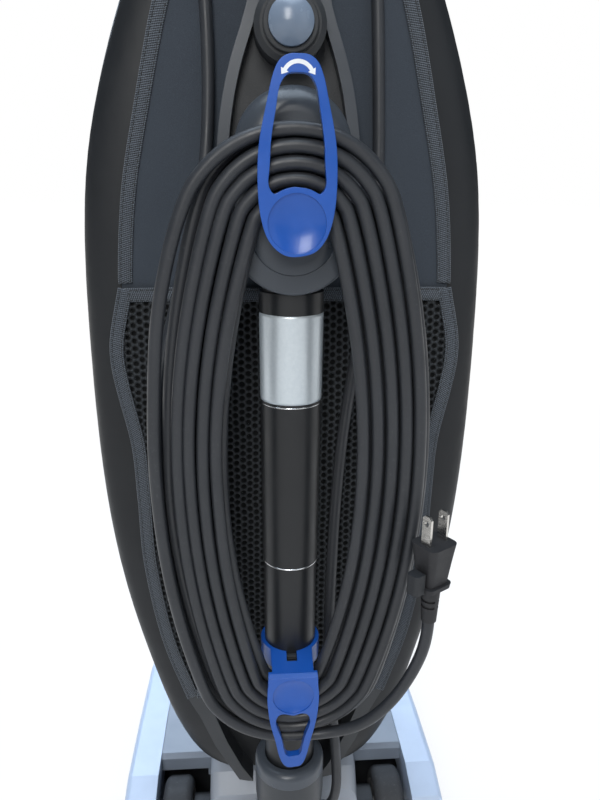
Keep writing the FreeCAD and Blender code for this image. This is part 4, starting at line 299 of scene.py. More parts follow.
def coil_plan():
    """Each quarter's number, inset and layer, from the lead's end to the tail's."""
    plan = [(k, PITCH_MM * k / 4, 0.0) for k in range(QUARTERS + 1)]
    plan.append((QUARTERS + 1, PITCH_MM * (QUARTERS + 1) / 4, 0.5))
    for _ in range(QUARTERS):
        quarter, inset = plan[-1][:2]
        plan.append((quarter + 1, inset - PITCH_MM / 4, 1.0))
    return plan


def coil_marks():
    """The place and heading at each quarter, with its number and inset."""
    plan = coil_plan()
    marks = []
    for index, (quarter, inset, layer) in enumerate(plan):
        spot, heading = coil_corner(quarter, inset, layer)
        if layer == 0.5:
            before, after = coil_corner(*plan[index - 1])[0], coil_corner(*plan[index + 1])[0]
            climb = (after - before).y / (math.pi / 2 * (after - before).length)
            heading = (heading + Vector((0, climb, 0))).normalized()
        marks.append((spot, heading, quarter, inset))
    return marks


def strand_shift(point, depth, on_top):
    """How far a point of the winding is moved, at its strand's depth from the outside."""
    share = min(1.0, abs(point.x) / max(HALF_X - depth, 1)) ** 0.7
    if point.x <= 0:
        return shift_at(RIGHT_SHIFTS, depth) * share
    shift = shift_at(LEFT_TOP_SHIFTS if on_top else LEFT_SHIFTS, depth) * share
    if on_top and depth < BULGE_DEPTH:
        shift += BULGE_MM * math.exp(-((point.z - BULGE_Z) / BULGE_SPREAD) ** 2)
    return shift


def coil_points():
    """Points along the whole winding, in mm."""
    marks = coil_marks()
    points = []
    for (p0, t0, _, inset), (p1, t1, following, next_inset) in zip(marks, marks[1:]):
        depth = (inset + next_inset) / 2
        arm = (END_RADIUS - depth) * ARM_SHARE
        for point in quarter_steps(p0, t0, p1, t1, arm, following % 2 == 1):
            shift = strand_shift(point, depth, following > QUARTERS + 1)
            points.append(point + Vector((math.copysign(shift, point.x), 0, 0)))
    return points


def through(points):
    """Control points whose quadratic spline runs close to the given points."""
    moved = [p.copy() for p in points]
    for _ in range(2):
        drawn = [(moved[i - 1] + moved[i] * 6 + moved[i + 1]) / 8 for i in range(1, len(moved) - 1)]
        for i, point in enumerate(drawn):
            moved[i + 1] += points[i + 1] - point
    return moved


cord_black = rubber("cord_black", (0.024, 0.026, 0.030), rough=0.42, grain=900, depth=0.2)
harness_black = rubber("harness_black", (0.026, 0.028, 0.032), rough=0.46, grain=900, depth=0.2)
cord_route = LEAD_POINTS + through(coil_points()) + TAIL_POINTS
power_cord = cord_curve("power_cord", cord_route, CORD_DIAMETER, cord_black)
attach(power_cord, "upright")
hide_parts("cord_lead", "cord_winding", "cord_tail")
handle_lead = cord_curve("handle_lead", HARNESS_POINTS, CORD_DIAMETER, harness_black)
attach(handle_lead, "upright")
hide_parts("harness_lead")


# Materials of the rigid parts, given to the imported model's own objects

satin_black = plastic("satin_black", (0.0120, 0.0133, 0.0152), rough=0.46, grain=1300, depth=0.18, shine=0.3)
tube_black = plastic("tube_black", (0.0105, 0.0115, 0.0130), rough=0.36, grain=1500, depth=0.12)
elbow_black = plastic("elbow_black", (0.042, 0.049, 0.059), rough=0.33, grain=1200, depth=0.15)
grained_black = plastic("grained_black", (0.020, 0.022, 0.025), rough=0.58, grain=1000, depth=0.6)
rail_grey = plastic("rail_grey", (0.046, 0.052, 0.061), rough=0.36, grain=1400, depth=0.15)
trim_grey = plastic("trim_grey", (0.034, 0.037, 0.041), rough=0.42, grain=1400, depth=0.15)
button_grey = plastic("button_grey", (0.15, 0.19, 0.25), rough=0.28, grain=1400, depth=0.10)
neck_grey = plastic("neck_grey", (0.030, 0.034, 0.039), rough=0.40, grain=1200, depth=0.2)
collar_grey = plastic("collar_grey", (0.055, 0.064, 0.078), rough=0.34)
hook_blue = plastic("hook_blue", (0.008, 0.072, 0.34), rough=0.33, grain=900, depth=0.12, coat=0.2, edge_wear_and_highlight=0.15)
silver_blue = plastic("silver_blue", (0.50, 0.59, 0.74), rough=0.36, grain=2200, depth=0.08, coat=0.25)
hood_grey = plastic("hood_grey", (0.20, 0.235, 0.29), rough=0.38, grain=2200, depth=0.08, coat=0.2)
centre_grey = plastic("centre_grey", (0.34, 0.37, 0.42), rough=0.45, grain=1600, depth=0.12)
chassis_black = plastic("chassis_black", (0.028, 0.030, 0.034), rough=0.52, grain=900, depth=0.35)
wheel_grey = plastic("wheel_grey", (0.095, 0.098, 0.104), rough=0.5, grain=1000, depth=0.25)
black_rubber = rubber("black_rubber", (0.018, 0.018, 0.020))
tyre_rubber = rubber("tyre_rubber", (0.040, 0.041, 0.044), rough=0.7, grain=500, depth=0.5, lint=0.3)
steel = metal("steel", (0.55, 0.56, 0.58))
dark_steel = metal("dark_steel", (0.10, 0.10, 0.105), rough=0.36)
blade_metal = metal("blade_metal", (0.72, 0.70, 0.66), rough=0.22)
tube_metal = metal("tube_metal", (0.62, 0.63, 0.66), rough=0.28, stretch=(30, 30, 1))

FINISHES = {
    satin_black: ("rim_frame", "cover_latch"),
    tube_black: ("lower_tube", "upper_sleeve"),
    elbow_black: ("elbow", "elbow_lip"),
    grained_black: ("spine_plate", "hook_catch", "cord_clip", "harness_clips", "handle_grip"),
    rail_grey: ("spine_rails",),
    trim_grey: ("trim_strips",),
    button_grey: ("release_button",),
    neck_grey: ("neck", "neck_yoke"),
    collar_grey: ("neck_collar",),
    hook_blue: ("upper_hook", "lower_hook", "power_switch"),
    silver_blue: ("side_arm_left", "side_arm_right"),
    hood_grey: ("head_deck", "front_cover"),
    centre_grey: ("motor_cover", "bag_dock"),
    chassis_black: ("head_chassis", "nozzle_plate", "suction_duct", "front_roller_left", "front_roller_right",
                    "brushroll"),
    wheel_grey: ("wheel_hub_left", "wheel_hub_right"),
    black_rubber: ("bumper", "drive_belt", "grip_pad", "cord_relief", "cord_plug", "brush_bristles"),
    tyre_rubber: ("wheel_tyre_left", "wheel_tyre_right"),
    steel: ("motor", "motor_rotor", "brush_bearings", "tilt_pins", "wheel_axles", "button_spring",
            "hinge_pin"),
    dark_steel: ("housing_screws",),
    blade_metal: ("plug_blades",),
    tube_metal: ("handle_tube",),
}
for finish, names in FINISHES.items():
    for name in names:
        for material_slot in nodes[name].material_slots:
            material_slot.material = finish


# Soft goods: the padded panel, its woven tape with stitches, the mesh pocket and the paper bag

# Half outlines as (half width, height) in mm
PANEL_SHAPE = [(71.0, 190.0), (89.0, 262.0), (95.5, 310.0), (97.0, 400.0), (99.5, 480.0), (100.0, 500.0),
               (95.0, 546.0), (85.0, 592.0), (71.2, 646.0), (54.5, 690.0), (37.0, 720.0), (18.0, 738.0),
               (0.0, 744.0)]
POCKET_SHAPE = [(72.0, 188.0), (87.5, 240.0), (96.5, 300.0), (98.0, 350.0), (99.5, 388.0), (106.0, 424.0),
                (108.6, 444.0), (107.6, 461.0), (101.0, 490.0)]
# The spine's edge as (height, half width) in mm
SPINE_EDGE = [(490.0, 45.8), (540.0, 44.0), (577.0, 42.5), (614.0, 34.5), (643.0, 25.5), (685.0, 22.5),
              (752.0, 22.0)]
# Half the housing's outline, as shares of its half width and height
BODY_SHAPE = [(0.0, 0.0), (0.27, 0.004), (0.46, 0.020), (0.61, 0.057), (0.70, 0.098), (0.79, 0.157),
              (0.89, 0.237), (0.955, 0.314), (0.995, 0.42), (1.0, 0.53), (0.985, 0.62), (0.94, 0.692),
              (0.845, 0.762), (0.74, 0.818), (0.60, 0.877), (0.41, 0.938), (0.21, 0.982), (0.0, 1.0)]
# How far ahead of the duct tube's axis the rear faces lie, in mm
PANEL_BACK = 44.0
POCKET_BACK = 42.2
# The duct's round opening through the panel
OUTLET_Z = 548.0
OUTLET_R = 20.0
LINE_STEPS = 24         # steps of a smooth line between two given points


def flat_line(points, step, ends=None):
    """Evenly spaced points of the smooth plane curve through the given ones, with a guide beyond each end."""
    first, last = ends or ((2 * points[0][0] - points[1][0], 2 * points[0][1] - points[1][1]),
                           (2 * points[-1][0] - points[-2][0], 2 * points[-1][1] - points[-2][1]))
    chain = [Vector(p) for p in [first] + list(points) + [last]]
    fine = []
    for p0, p1, p2, p3 in zip(chain, chain[1:], chain[2:], chain[3:]):
        for k in range(LINE_STEPS):
            t = k / LINE_STEPS
            fine.append(0.5 * (2 * p1 + (p2 - p0) * t + (2 * p0 - 5 * p1 + 4 * p2 - p3) * t * t
                               + (3 * p1 - p0 - 3 * p2 + p3) * t ** 3))
    fine.append(chain[-2])
    travel = [0.0]
    for a, b in zip(fine, fine[1:]):
        travel.append(travel[-1] + (b - a).length)
    count = max(2, round(travel[-1] / step))
    out, place = [], 0
    for k in range(count + 1):
        goal = travel[-1] * k / count
        while place < len(fine) - 2 and travel[place + 1] < goal:
            place += 1
        part = (goal - travel[place]) / max(travel[place + 1] - travel[place], 1e-9)
        out.append(fine[place] + (fine[place + 1] - fine[place]) * min(part, 1))
    return out


def value_at(table, x):
    """The value at x of a line through (x, value) pairs in rising order."""
    for (x0, y0), (x1, y1) in zip(table, table[1:]):
        if x <= x1:
            return y0 + (y1 - y0) * max(0.0, (x - x0) / (x1 - x0))
    return table[-1][1]


def smooth(low, high, x):
    """A soft step from 0 at low to 1 at high."""
    t = min(1.0, max(0.0, (x - low) / (high - low)))
    return t * t * (3 - 2 * t)


def surface(name, rows, material, ring=False, caps=""):
    """A smooth skin through equal rows of (x, ahead, z) points in mm, with UVs in metres along and across.

    A ring joins each row's end to its start. The caps close "both" ends, or only the "last" one.
    """
    width = len(rows[0])
    columns = width if ring else width - 1
    spots = [[at(*p) for p in row] for row in rows]
    along, across = [0.0], [0.0]
    for a, b in zip(spots, spots[1:]):
        along.append(along[-1] + (b[width // 2] - a[width // 2]).length)
    for k in range(columns):
        across.append(across[-1] + (spots[0][(k + 1) % width] - spots[0][k]).length)
    faces, uvs = [], []
    for j in range(len(rows) - 1):
        for i in range(columns):
            n = (i + 1) % width
            faces.append((j * width + i, j * width + n, (j + 1) * width + n, (j + 1) * width + i))
            uvs += [(along[j], across[i]), (along[j], across[i + 1]),
                    (along[j + 1], across[i + 1]), (along[j + 1], across[i])]
    if caps:
        faces.append(tuple(range((len(rows) - 1) * width, len(rows) * width)))
        uvs += [(0.0, 0.0)] * width
    if caps == "both":
        faces.append(tuple(range(width))[::-1])
        uvs += [(0.0, 0.0)] * width
    mesh = bpy.data.meshes.new(name)
    mesh.from_pydata([p for row in spots for p in row], [], faces)
    layer = mesh.uv_layers.new(name="UVMap")
    layer.data.foreach_set("uv", [c for uv in uvs for c in uv])
    mesh.polygons.foreach_set("use_smooth", [True] * len(mesh.polygons))
    mesh.materials.append(material)
    mesh.validate()
    made = bmesh.new()
    made.from_mesh(mesh)
    bmesh.ops.recalc_face_normals(made, faces=made.faces)
    made.to_mesh(mesh)
    made.free()
    piece = bpy.data.objects.new(name, mesh)
    bpy.context.scene.collection.objects.link(piece)
    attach(piece, "upright")
    return piece


def join(pieces, name):
    """One object from several, which keeps the first one's place and materials."""
    made = bmesh.new()
    for piece in pieces:
        made.from_mesh(piece.data)
    mesh = pieces[0].data.copy()
    made.to_mesh(mesh)
    made.free()
    mesh.name = name
    for piece in pieces:
        bpy.data.objects.remove(piece)
    joined = bpy.data.objects.new(name, mesh)
    bpy.context.scene.collection.objects.link(joined)
    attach(joined, "upright")
    return joined


# Cloth materials, with lengths in metres

POCKET_SHADE_START, POCKET_SHADE_FULL = 0.4895, 0.4880      # heights between which the cloth is painted near black, a painted shade under the mesh pocket
RIB_PITCH = 0.00125
RIB_SLANT = 0.42
TAPE_THREAD_PITCH = 0.0011
MESH_PITCH = 0.0041
MESH_WARP = 0.0022

def cloth_material():
    """Dark padded cloth with a fine brushed weave, faint lint and slight unevenness, painted near black under
    the mesh pocket as painted shade.
    """
    s = Shader("padded_cloth")
    fine = s.noise(2600, 3, 0.65)
    cloud = s.noise(14, 4, 0.6)
    lint = s.spread(s.noise(900, 4, 0.75), 0.62, 0.78, 0, 0.5)
    base = s.mix(fine, (0.014, 0.017, 0.022, 1), (0.058, 0.069, 0.085, 1))
    uneven = s.mix(s.spread(cloud, 0.3, 0.7, 0, 0.35), base, (0.048, 0.058, 0.072, 1))
    place = s.add("SeparateXYZ", {"Vector": s.where.outputs["Object"]})
    # Below the pocket's top the cloth's colour goes near black: painted shade under the mesh pocket, seen
    # through its eyes.
    pocket_shade = s.spread(place.outputs["Z"], POCKET_SHADE_START, POCKET_SHADE_FULL, 0, 1)
    outer = s.mix(lint, uneven, (0.10, 0.11, 0.12, 1))
    s.plug("Base Color", s.mix(pocket_shade, outer, (0.004, 0.0045, 0.005, 1)))
    s.plug("Normal", s.bump(fine, 0.5, 0.0003, s.bump(s.noise(120, 3, 0.5), 0.15, 0.0006)))
    s.set(Roughness=0.9, Sheen_Weight=0.12, Sheen_Roughness=0.5, Specular_IOR_Level=0.2)
    return s.material


def tape_material():
    """Ribbed grosgrain tape: slanted ribs across it, a fuzzy thread and a thicker corded edge, with painted
    shade in the gaps between the ribs.
    """
    s = Shader("woven_tape")
    axes = s.add("SeparateXYZ", {"Vector": s.where.outputs["UV"]})
    along, across = axes.outputs["X"], axes.outputs["Y"]
    fuzz = s.noise(1500, 3, 0.6)
    slanted = s.math("ADD", along, s.math("MULTIPLY", across, RIB_SLANT))
    phase = s.math("MULTIPLY", slanted, 2 * math.pi / RIB_PITCH)
    rib = s.math("SINE", s.math("ADD", phase, s.math("MULTIPLY", fuzz, 2.2)))
    thread = s.math("SINE", s.math("MULTIPLY", across, 2 * math.pi / TAPE_THREAD_PITCH))
    height = s.math("ADD", s.math("MULTIPLY", rib, 0.36), s.math("MULTIPLY", thread, 0.14))
    height = s.math("ADD", height, s.math("MULTIPLY", fuzz, 0.5))
    # The colour follows the weave's height: the gaps between ribs and threads are painted dark, a painted
    # shade, and the rib tops lighter.
    tone = s.spread(height, -0.2, 0.7, 0, 1)
    s.plug("Base Color", s.mix(tone, (0.010, 0.011, 0.0125, 1), (0.108, 0.123, 0.143, 1)))
    s.plug("Normal", s.bump(height, 0.9, 0.0004))
    s.set(Roughness=0.82, Sheen_Weight=0.15, Sheen_Roughness=0.5, Specular_IOR_Level=0.3)
    return s.material


def mesh_material():
    """Knitted mesh: round-edged hexagonal eyes that are real holes, and looped threads between them with
    painted highlights on their knots.
    """
    s = Shader("knitted_mesh")
    place = s.add("SeparateXYZ", {"Vector": s.where.outputs["Object"]})
    warp = s.math("MULTIPLY", s.math("SUBTRACT", s.noise(60, 2, 0.5), 0.5), MESH_WARP)
    x = s.math("ADD", place.outputs["X"], warp)
    z = s.math("ADD", place.outputs["Z"], warp)
    total = None
    for degrees in (0, 60, 120):
        angle = math.radians(degrees)
        part_x = s.math("MULTIPLY", x, math.cos(angle))
        part_z = s.math("MULTIPLY", z, math.sin(angle))
        wave = s.math("COSINE", s.math("MULTIPLY", s.math("ADD", part_x, part_z), 2 * math.pi / MESH_PITCH))
        total = wave if total is None else s.math("ADD", total, wave)
    eye = s.spread(total, 0.45, 1.0, 0, 1)
    knot_and_highlight = s.spread(total, -0.4, -1.5, 0, 1)
    fuzz = s.noise(2200, 3, 0.6)
    # The knots between the eyes are painted lighter than the threads, a painted highlight; they also rise in
    # the bump.
    thread = s.mix(s.math("MULTIPLY", knot_and_highlight, fuzz), (0.005, 0.006, 0.007, 1), (0.055, 0.062, 0.070, 1))
    s.plug("Base Color", thread)
    height = s.math("ADD", s.math("MULTIPLY", knot_and_highlight, 0.7), s.math("MULTIPLY", fuzz, 0.35))
    s.plug("Normal", s.bump(height, 0.9, 0.0009))
    s.plug("Alpha", s.math("SUBTRACT", 1.0, eye))
    s.set(Roughness=0.5, Sheen_Weight=0.02, Specular_IOR_Level=0.2)
    return s.material


def thread_material():
    """Dark twisted sewing thread."""
    s = Shader("sewing_thread")
    twist = s.noise(2600, 3, 0.6)
    s.plug("Base Color", s.mix(twist, (0.006, 0.006, 0.007, 1), (0.035, 0.037, 0.040, 1)))
    s.plug("Normal", s.bump(twist, 0.7, 0.0002))
    s.set(Roughness=0.7)
    return s.material


def paper_material():
    """Unbleached filter paper with fibres, creases and slight soiling."""
    s = Shader("filter_paper")
    fibre = s.noise(700, 5, 0.7)
    cloud = s.noise(18, 4, 0.6)
    base = s.mix(fibre, (0.50, 0.40, 0.27, 1), (0.66, 0.56, 0.41, 1))
    s.plug("Base Color", s.mix(s.spread(cloud, 0.35, 0.75, 0, 0.4), base, (0.44, 0.36, 0.26, 1)))
    crease = s.add("TexVoronoi", {"Vector": s.where.outputs["Object"]}, feature="DISTANCE_TO_EDGE",
                   Scale=34.0)
    folded = s.spread(crease.outputs["Distance"], 0.0, 0.06, 0, 1)
    s.plug("Normal", s.bump(folded, 0.35, 0.0006, s.bump(fibre, 0.4, 0.0002)))
    s.plug("Roughness", s.spread(fibre, 0.3, 0.7, 0.75, 0.95))
    return s.material


cloth, tape_cloth = cloth_material(), tape_material()
mesh_cloth, thread, paper = mesh_material(), thread_material(), paper_material()


# The padded panel, a closed form that is fullest between its tape and the spine

PANEL_WIDTHS = [(p.y, p.x) for p in flat_line(PANEL_SHAPE, 4.0, ((65.0, 160.0), (-18.0, 738.0)))]
PANEL_HEIGHTS = [190 + 4 * k for k in range(136)] + [733, 735.5, 738, 740, 741.5, 742.8, 743.6]
PANEL_COLUMNS = 44      # columns from the middle to each side
PANEL_THICK = 3.2
TAPE_COVER = 8.0        # how much of the panel's edge the tape holds flat


def panel_half_width(z):
    """The panel's half width at a height, in mm."""
    return value_at(PANEL_WIDTHS, z)


def crown(x, z):
    """How far the padding stands proud of the panel's flat back."""
    inner, outer = value_at(SPINE_EDGE, z), panel_half_width(z) - TAPE_COVER
    if outer <= inner:
        return 0.0
    share = min(1.0, max(0.0, (abs(x) - inner) / (outer - inner)))
    full = math.sin(math.pi * share) ** 0.6 * smooth(493, 508, z) * (1 - smooth(715, 735, z))
    wide = noise.noise(Vector((x * 0.035, z * 0.02, 4.1)))
    narrow = noise.noise(Vector((x * 0.11, z * 0.07, 1.7)))
    return full * (0.75 + 0.3 * (wide + 0.5 * narrow))


def panel_rows():
    """Loops round the panel, one at each height: its crowned back from side to side, then its front."""
    rows = []
    for z in PANEL_HEIGHTS:
        half = panel_half_width(z)
        sides = [half * math.sin(math.pi / 2 * k / PANEL_COLUMNS)
                 for k in range(-PANEL_COLUMNS, PANEL_COLUMNS + 1)]
        row = [(x, PANEL_BACK - crown(x, z) + 0.5 * (abs(x) > half - 0.3), z) for x in sides]
        row += [(half, PANEL_BACK + PANEL_THICK / 2, z)]
        row += [(x, PANEL_BACK + PANEL_THICK, z) for x in reversed(sides[::4])]
        row += [(-half, PANEL_BACK + PANEL_THICK / 2, z)]
        rows.append(row)
    return rows


def punch_outlet(piece):
    """Cut the duct's round opening through a piece."""
    bpy.ops.mesh.primitive_cylinder_add(vertices=72, radius=(OUTLET_R + 0.6) / 1000, depth=0.03,
                                        location=at(0, 46, OUTLET_Z), rotation=(math.pi / 2, 0, 0))
    punch = bpy.context.object
    cut = piece.modifiers.new("outlet", "BOOLEAN")
    cut.operation, cut.solver, cut.object = "DIFFERENCE", "EXACT", punch
    bpy.context.view_layer.update()
    shaped = piece.evaluated_get(bpy.context.evaluated_depsgraph_get())
    piece.data = bpy.data.meshes.new_from_object(shaped)
    piece.modifiers.clear()
    bpy.data.objects.remove(punch)


panel = surface("padded_panel", panel_rows(), cloth, ring=True, caps="both")
punch_outlet(panel)
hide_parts("back_panel")


# The tape, a folded band with a corded edge, and the stitches that hold it

# Profiles as (across, rise) in mm, and the places of their two stitch rows
BAND = [(-4.25, 0.0), (-4.22, 0.62), (-3.95, 0.86), (-3.45, 0.78), (-3.05, 0.60), (-2.65, 0.78), (-2.1, 0.98),
        (0.0, 1.08), (1.8, 1.0), (2.4, 0.84), (2.75, 0.92), (3.2, 1.22), (3.6, 1.34), (4.0, 1.18),
        (4.22, 0.7), (4.25, 0.0)]
BAND_SEAMS = ((-3.05, 0.62), (2.45, 0.84))
HEM = [(-4.25, 0.0), (-4.22, 0.55), (-3.9, 0.85), (-3.4, 0.62), (-2.9, 0.9), (-1.0, 1.05), (1.0, 1.05),
       (2.2, 0.92), (2.6, 0.62), (3.0, 0.95), (3.6, 1.12), (4.1, 0.95), (4.25, 0.5), (4.25, 0.0)]
HEM_SEAMS = ((-3.4, 0.64), (2.6, 0.64))
TAPE_HALF = 4.25
TAPE_STEP = 1.5
PANEL_TAPE_BASE = 43.7
POCKET_TAPE_BASE = 41.7
HEM_BASE = 41.9
STITCH_PITCH = 3.3
STITCH_LENGTH = 2.3
STITCH_THICK = 0.00062
STITCH_SIDES = 6


def moved_line(points, shift):
    """The plane line's points set to its left by a shift, with their headings."""
    out = []
    for k, p in enumerate(points):
        way = (points[min(k + 1, len(points) - 1)] - points[max(k - 1, 0)]).normalized()
        out.append((p + Vector((-way.y, way.x)) * shift, way))
    return out


def band(name, line, base, profile, sign):
    """A tape along a plane line, its profile rising towards the viewer behind from its base depth."""
    rows = []
    for k, (p, way) in enumerate(line):
        out = Vector((way.y, -way.x)) * sign
        swell = 1 + 0.05 * math.sin(k * 1.9) + 0.06 * noise.noise(Vector((p.x * 0.06, p.y * 0.06, 2.0)))
        rows.append([(p.x + out.x * s, base - h * swell, p.y + out.y * s) for s, h in profile])
    return surface(name, rows, tape_cloth, ring=True, caps="both")


def stitch_mesh(made, centre, way, side, half):
    """One stitch: a short rounded thread that dips into the tape at both ends."""
    rear = Vector((0, 1, 0))
    rings = []
    for share, lift in ((-1.0, -0.35), (-0.55, 0.1), (0.0, 0.28), (0.55, 0.1), (1.0, -0.35)):
        middle = centre + way * (half * share) + rear * (lift * STITCH_THICK)
        slim = STITCH_THICK * (0.55 if abs(share) == 1 else 1.0) / 2
        rings.append([made.verts.new(middle + side * (slim * math.cos(a)) + rear * (slim * math.sin(a)))
                      for a in (k * math.pi / 3 for k in range(STITCH_SIDES))])
    for a, b in zip(rings, rings[1:]):
        for i in range(STITCH_SIDES):
            n = (i + 1) % STITCH_SIDES
            made.faces.new((a[i], a[n], b[n], b[i]))
    made.faces.new(rings[0][::-1])
    made.faces.new(rings[-1])


def stitch_row(made, line, base, across, height, sign):
    """A row of stitches along a tape, set across from its middle line."""
    travel, due = 0.0, STITCH_PITCH / 2
    for (p, way), (q, _) in zip(line, line[1:]):
        step = (q - p).length
        while travel + step >= due:
            spot = p + (q - p) * ((due - travel) / step)
            out = Vector((way.y, -way.x)) * sign
            jitter = 0.08 * noise.noise(Vector((due, base, across)))
            centre = at(spot.x + out.x * (across + jitter), base - height, spot.y + out.y * (across + jitter))
            run, side = Vector((way.x, 0, way.y)), Vector((out.x, 0, out.y))
            stitch_mesh(made, centre, run, side, STITCH_LENGTH / 2000)
            due += STITCH_PITCH
        travel += step


def upper_line():
    """The tape's middle line up the +X side of the panel, from the hem to the spine."""
    shape = [(x + 1.5, z) for x, z in PANEL_SHAPE[:-1]] + [(0.0, 745.8)]
    line = flat_line(shape, TAPE_STEP, ((66.5, 160.0), (-18.0, 739.0)))
    line = moved_line([p for p in line if p.y > 490.5], TAPE_HALF)
    return [(p, way) for p, way in line if p.x > 23.0]


def pocket_side():
    """The tape's middle line up the +X side of the pocket."""
    line = flat_line([(x + 1.0, z) for x, z in POCKET_SHAPE], TAPE_STEP)
    return moved_line(line, TAPE_HALF)


def level_line(start, z, wave, count):
    """A tape's middle line across the panel, with a slight wave."""
    return [(Vector((start + TAPE_STEP * k, z + wave * math.sin(k * 0.13))), Vector((1.0, 0.0)))
            for k in range(count)]


def flipped(line):
    """The same line on the other side."""
    return [(Vector((-p.x, p.y)), Vector((-way.x, way.y))) for p, way in line]


tape_parts, sewn = [], bmesh.new()
right_upper, right_pocket = upper_line(), pocket_side()
for line, base, profile, sign, seams in (
        (right_upper, PANEL_TAPE_BASE, BAND, 1, BAND_SEAMS),
        (flipped(right_upper), PANEL_TAPE_BASE, BAND, -1, BAND_SEAMS),
        (right_pocket, POCKET_TAPE_BASE, BAND, 1, BAND_SEAMS),
        (flipped(right_pocket), POCKET_TAPE_BASE, BAND, -1, BAND_SEAMS),
        (level_line(-98.5, 485.6, 0.25, 132), HEM_BASE, HEM, -1, HEM_SEAMS),
        (level_line(-66.0, 192.4, 0.0, 89), HEM_BASE, HEM, 1, HEM_SEAMS)):
    tape_parts.append(band("tape_part", line, base, profile, sign))
    for across, height in seams:
        stitch_row(sewn, line, base, across, height, sign)
tape = join(tape_parts, "woven_tape")
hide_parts("panel_binding")
stitches_mesh = bpy.data.meshes.new("tape_stitches")
sewn.to_mesh(stitches_mesh)
sewn.free()
stitches_mesh.polygons.foreach_set("use_smooth", [True] * len(stitches_mesh.polygons))
stitches_mesh.materials.append(thread)
stitches = bpy.data.objects.new("tape_stitches", stitches_mesh)
bpy.context.scene.collection.objects.link(stitches)
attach(stitches, "upright")


# The mesh pocket, a thin sheet stretched over the panel under the tape

POCKET_WIDTHS = [(p.y, p.x) for p in flat_line(POCKET_SHAPE, 3.0)]
POCKET_LOW = 188.6
POCKET_STEP = 3.098
POCKET_ROWS = 98
POCKET_COLUMNS = 30     # columns from the middle to each side


def pocket_row(half, z):
    """One row of the sheet, which sags a little between its taped edges."""
    edge = smooth(188, 215, z) * (1 - smooth(460, 488, z))
    row = []
    for i in range(-POCKET_COLUMNS, POCKET_COLUMNS + 1):
        x = half * i / POCKET_COLUMNS
        uneven = 0.25 + 0.4 * noise.noise(Vector((x * 0.03, z * 0.022, 7.3)))
        slack = edge * (1 - (i / POCKET_COLUMNS) ** 4) * uneven
        row.append((x, POCKET_BACK + 0.2 - slack, z))
    return row


pocket_rows, pocket_area = [], 0.0
for k in range(POCKET_ROWS):
    z = POCKET_LOW + POCKET_STEP * k
    half = value_at(POCKET_WIDTHS, z) - 0.8
    pocket_area += 2 * half * POCKET_STEP * (0.5 if k in (0, POCKET_ROWS - 1) else 1.0)
    pocket_rows.append(pocket_row(half, z))
pocket = surface("mesh_sheet", pocket_rows, mesh_cloth)
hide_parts("mesh_pocket")


# The paper bag, with a flat back round its mouth, gusseted sides and a rounded front

BAG_HALF, BAG_HEIGHT, BAG_LOW = 126.5, 672.0, 100.0
BAG_MIDDLE_Z = 436.0
BAG_BACK, BAG_FRONT = 72.4, 171.5
BAG_STEPS = 150         # points up each side of a loop
GUSSET_AHEAD, GUSSET_DEPTH, GUSSET_SPREAD = 112.0, 7.0, 5.0
# The inset of the bag's outline at each distance ahead
BAG_SECTIONS = [(36.0, BAG_BACK), (26.0, 78.0), (18.0, 86.0), (14.5, 96.0), (13.5, 104.0), (13.5, 112.0),
                (14.0, 120.0), (16.0, 129.0), (20.0, 138.0), (27.0, 148.0), (36.0, 157.5), (48.0, 166.0),
                (62.0, BAG_FRONT)]


def bag_loop(inset, ahead, crease):
    """The bag's outline at a distance ahead, drawn in at its sides by a crease."""
    half, height, low = BAG_HALF - inset, BAG_HEIGHT - 2 * inset, BAG_LOW + inset
    side = flat_line([(half * x, low + height * z) for x, z in BODY_SHAPE], 9.0,
                     ((-0.27 * half, low), (-0.21 * half, low + 0.982 * height)))
    half_loop = []
    for k in range(BAG_STEPS + 1):
        place = k / BAG_STEPS * (len(side) - 1)
        below = min(int(place), len(side) - 2)
        half_loop.append(side[below].lerp(side[below + 1], place - below))
    out = []
    for p in half_loop + [Vector((-p.x, p.y)) for p in reversed(half_loop[1:-1])]:
        pull = crease * smooth(0.15, 0.6, abs(p.x) / half)
        pucker = 0.9 * noise.noise(Vector((p.x * 0.04, p.y * 0.03, ahead * 0.05)))
        pucker += 0.5 * noise.noise(Vector((p.x * 0.13, p.y * 0.1, ahead * 0.12)))
        shrink = 1 - (pull + 0.9 + pucker) / max(half, 1)
        out.append((p.x * shrink, ahead, BAG_MIDDLE_Z + (p.y - BAG_MIDDLE_Z) * shrink))
    return out


def mouth_loop(loop, share):
    """The bag's back outline shrunk towards its mouth."""
    row = []
    for x, _, z in loop:
        way = Vector((x, z - OUTLET_Z))
        far, way = way.length, way.normalized()
        reach = OUTLET_R + 0.5 + (far - OUTLET_R - 0.5) * (1 - share)
        row.append((way.x * reach, BAG_BACK, OUTLET_Z + way.y * reach))
    return row


def front_loop(loop, share):
    """The bag's front outline shrunk towards its middle."""
    row = []
    for x, _, z in loop:
        ripple = 0.8 * noise.noise(Vector((x * share * 0.03, z * 0.02, 3.0)))
        ahead = BAG_FRONT + 0.6 * (1 - share) + ripple - 0.6
        row.append((x * share, ahead, BAG_MIDDLE_Z + (z - BAG_MIDDLE_Z) * share))
    return row


def bag_rows():
    """The bag's loops from its mouth to its front."""
    rows = []
    for inset, ahead in BAG_SECTIONS:
        crease = GUSSET_DEPTH * math.exp(-((ahead - GUSSET_AHEAD) / GUSSET_SPREAD) ** 2)
        rows.append(bag_loop(inset, ahead, crease))
    mouth = [mouth_loop(rows[0], share) for share in (1.0, 0.75, 0.5, 0.25, 0.06)]
    front = [front_loop(rows[-1], share) for share in (0.75, 0.5, 0.25, 0.04)]
    return mouth + rows + front


bag = surface("paper_bag", bag_rows(), paper, ring=True, caps="last")
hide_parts("dust_bag")


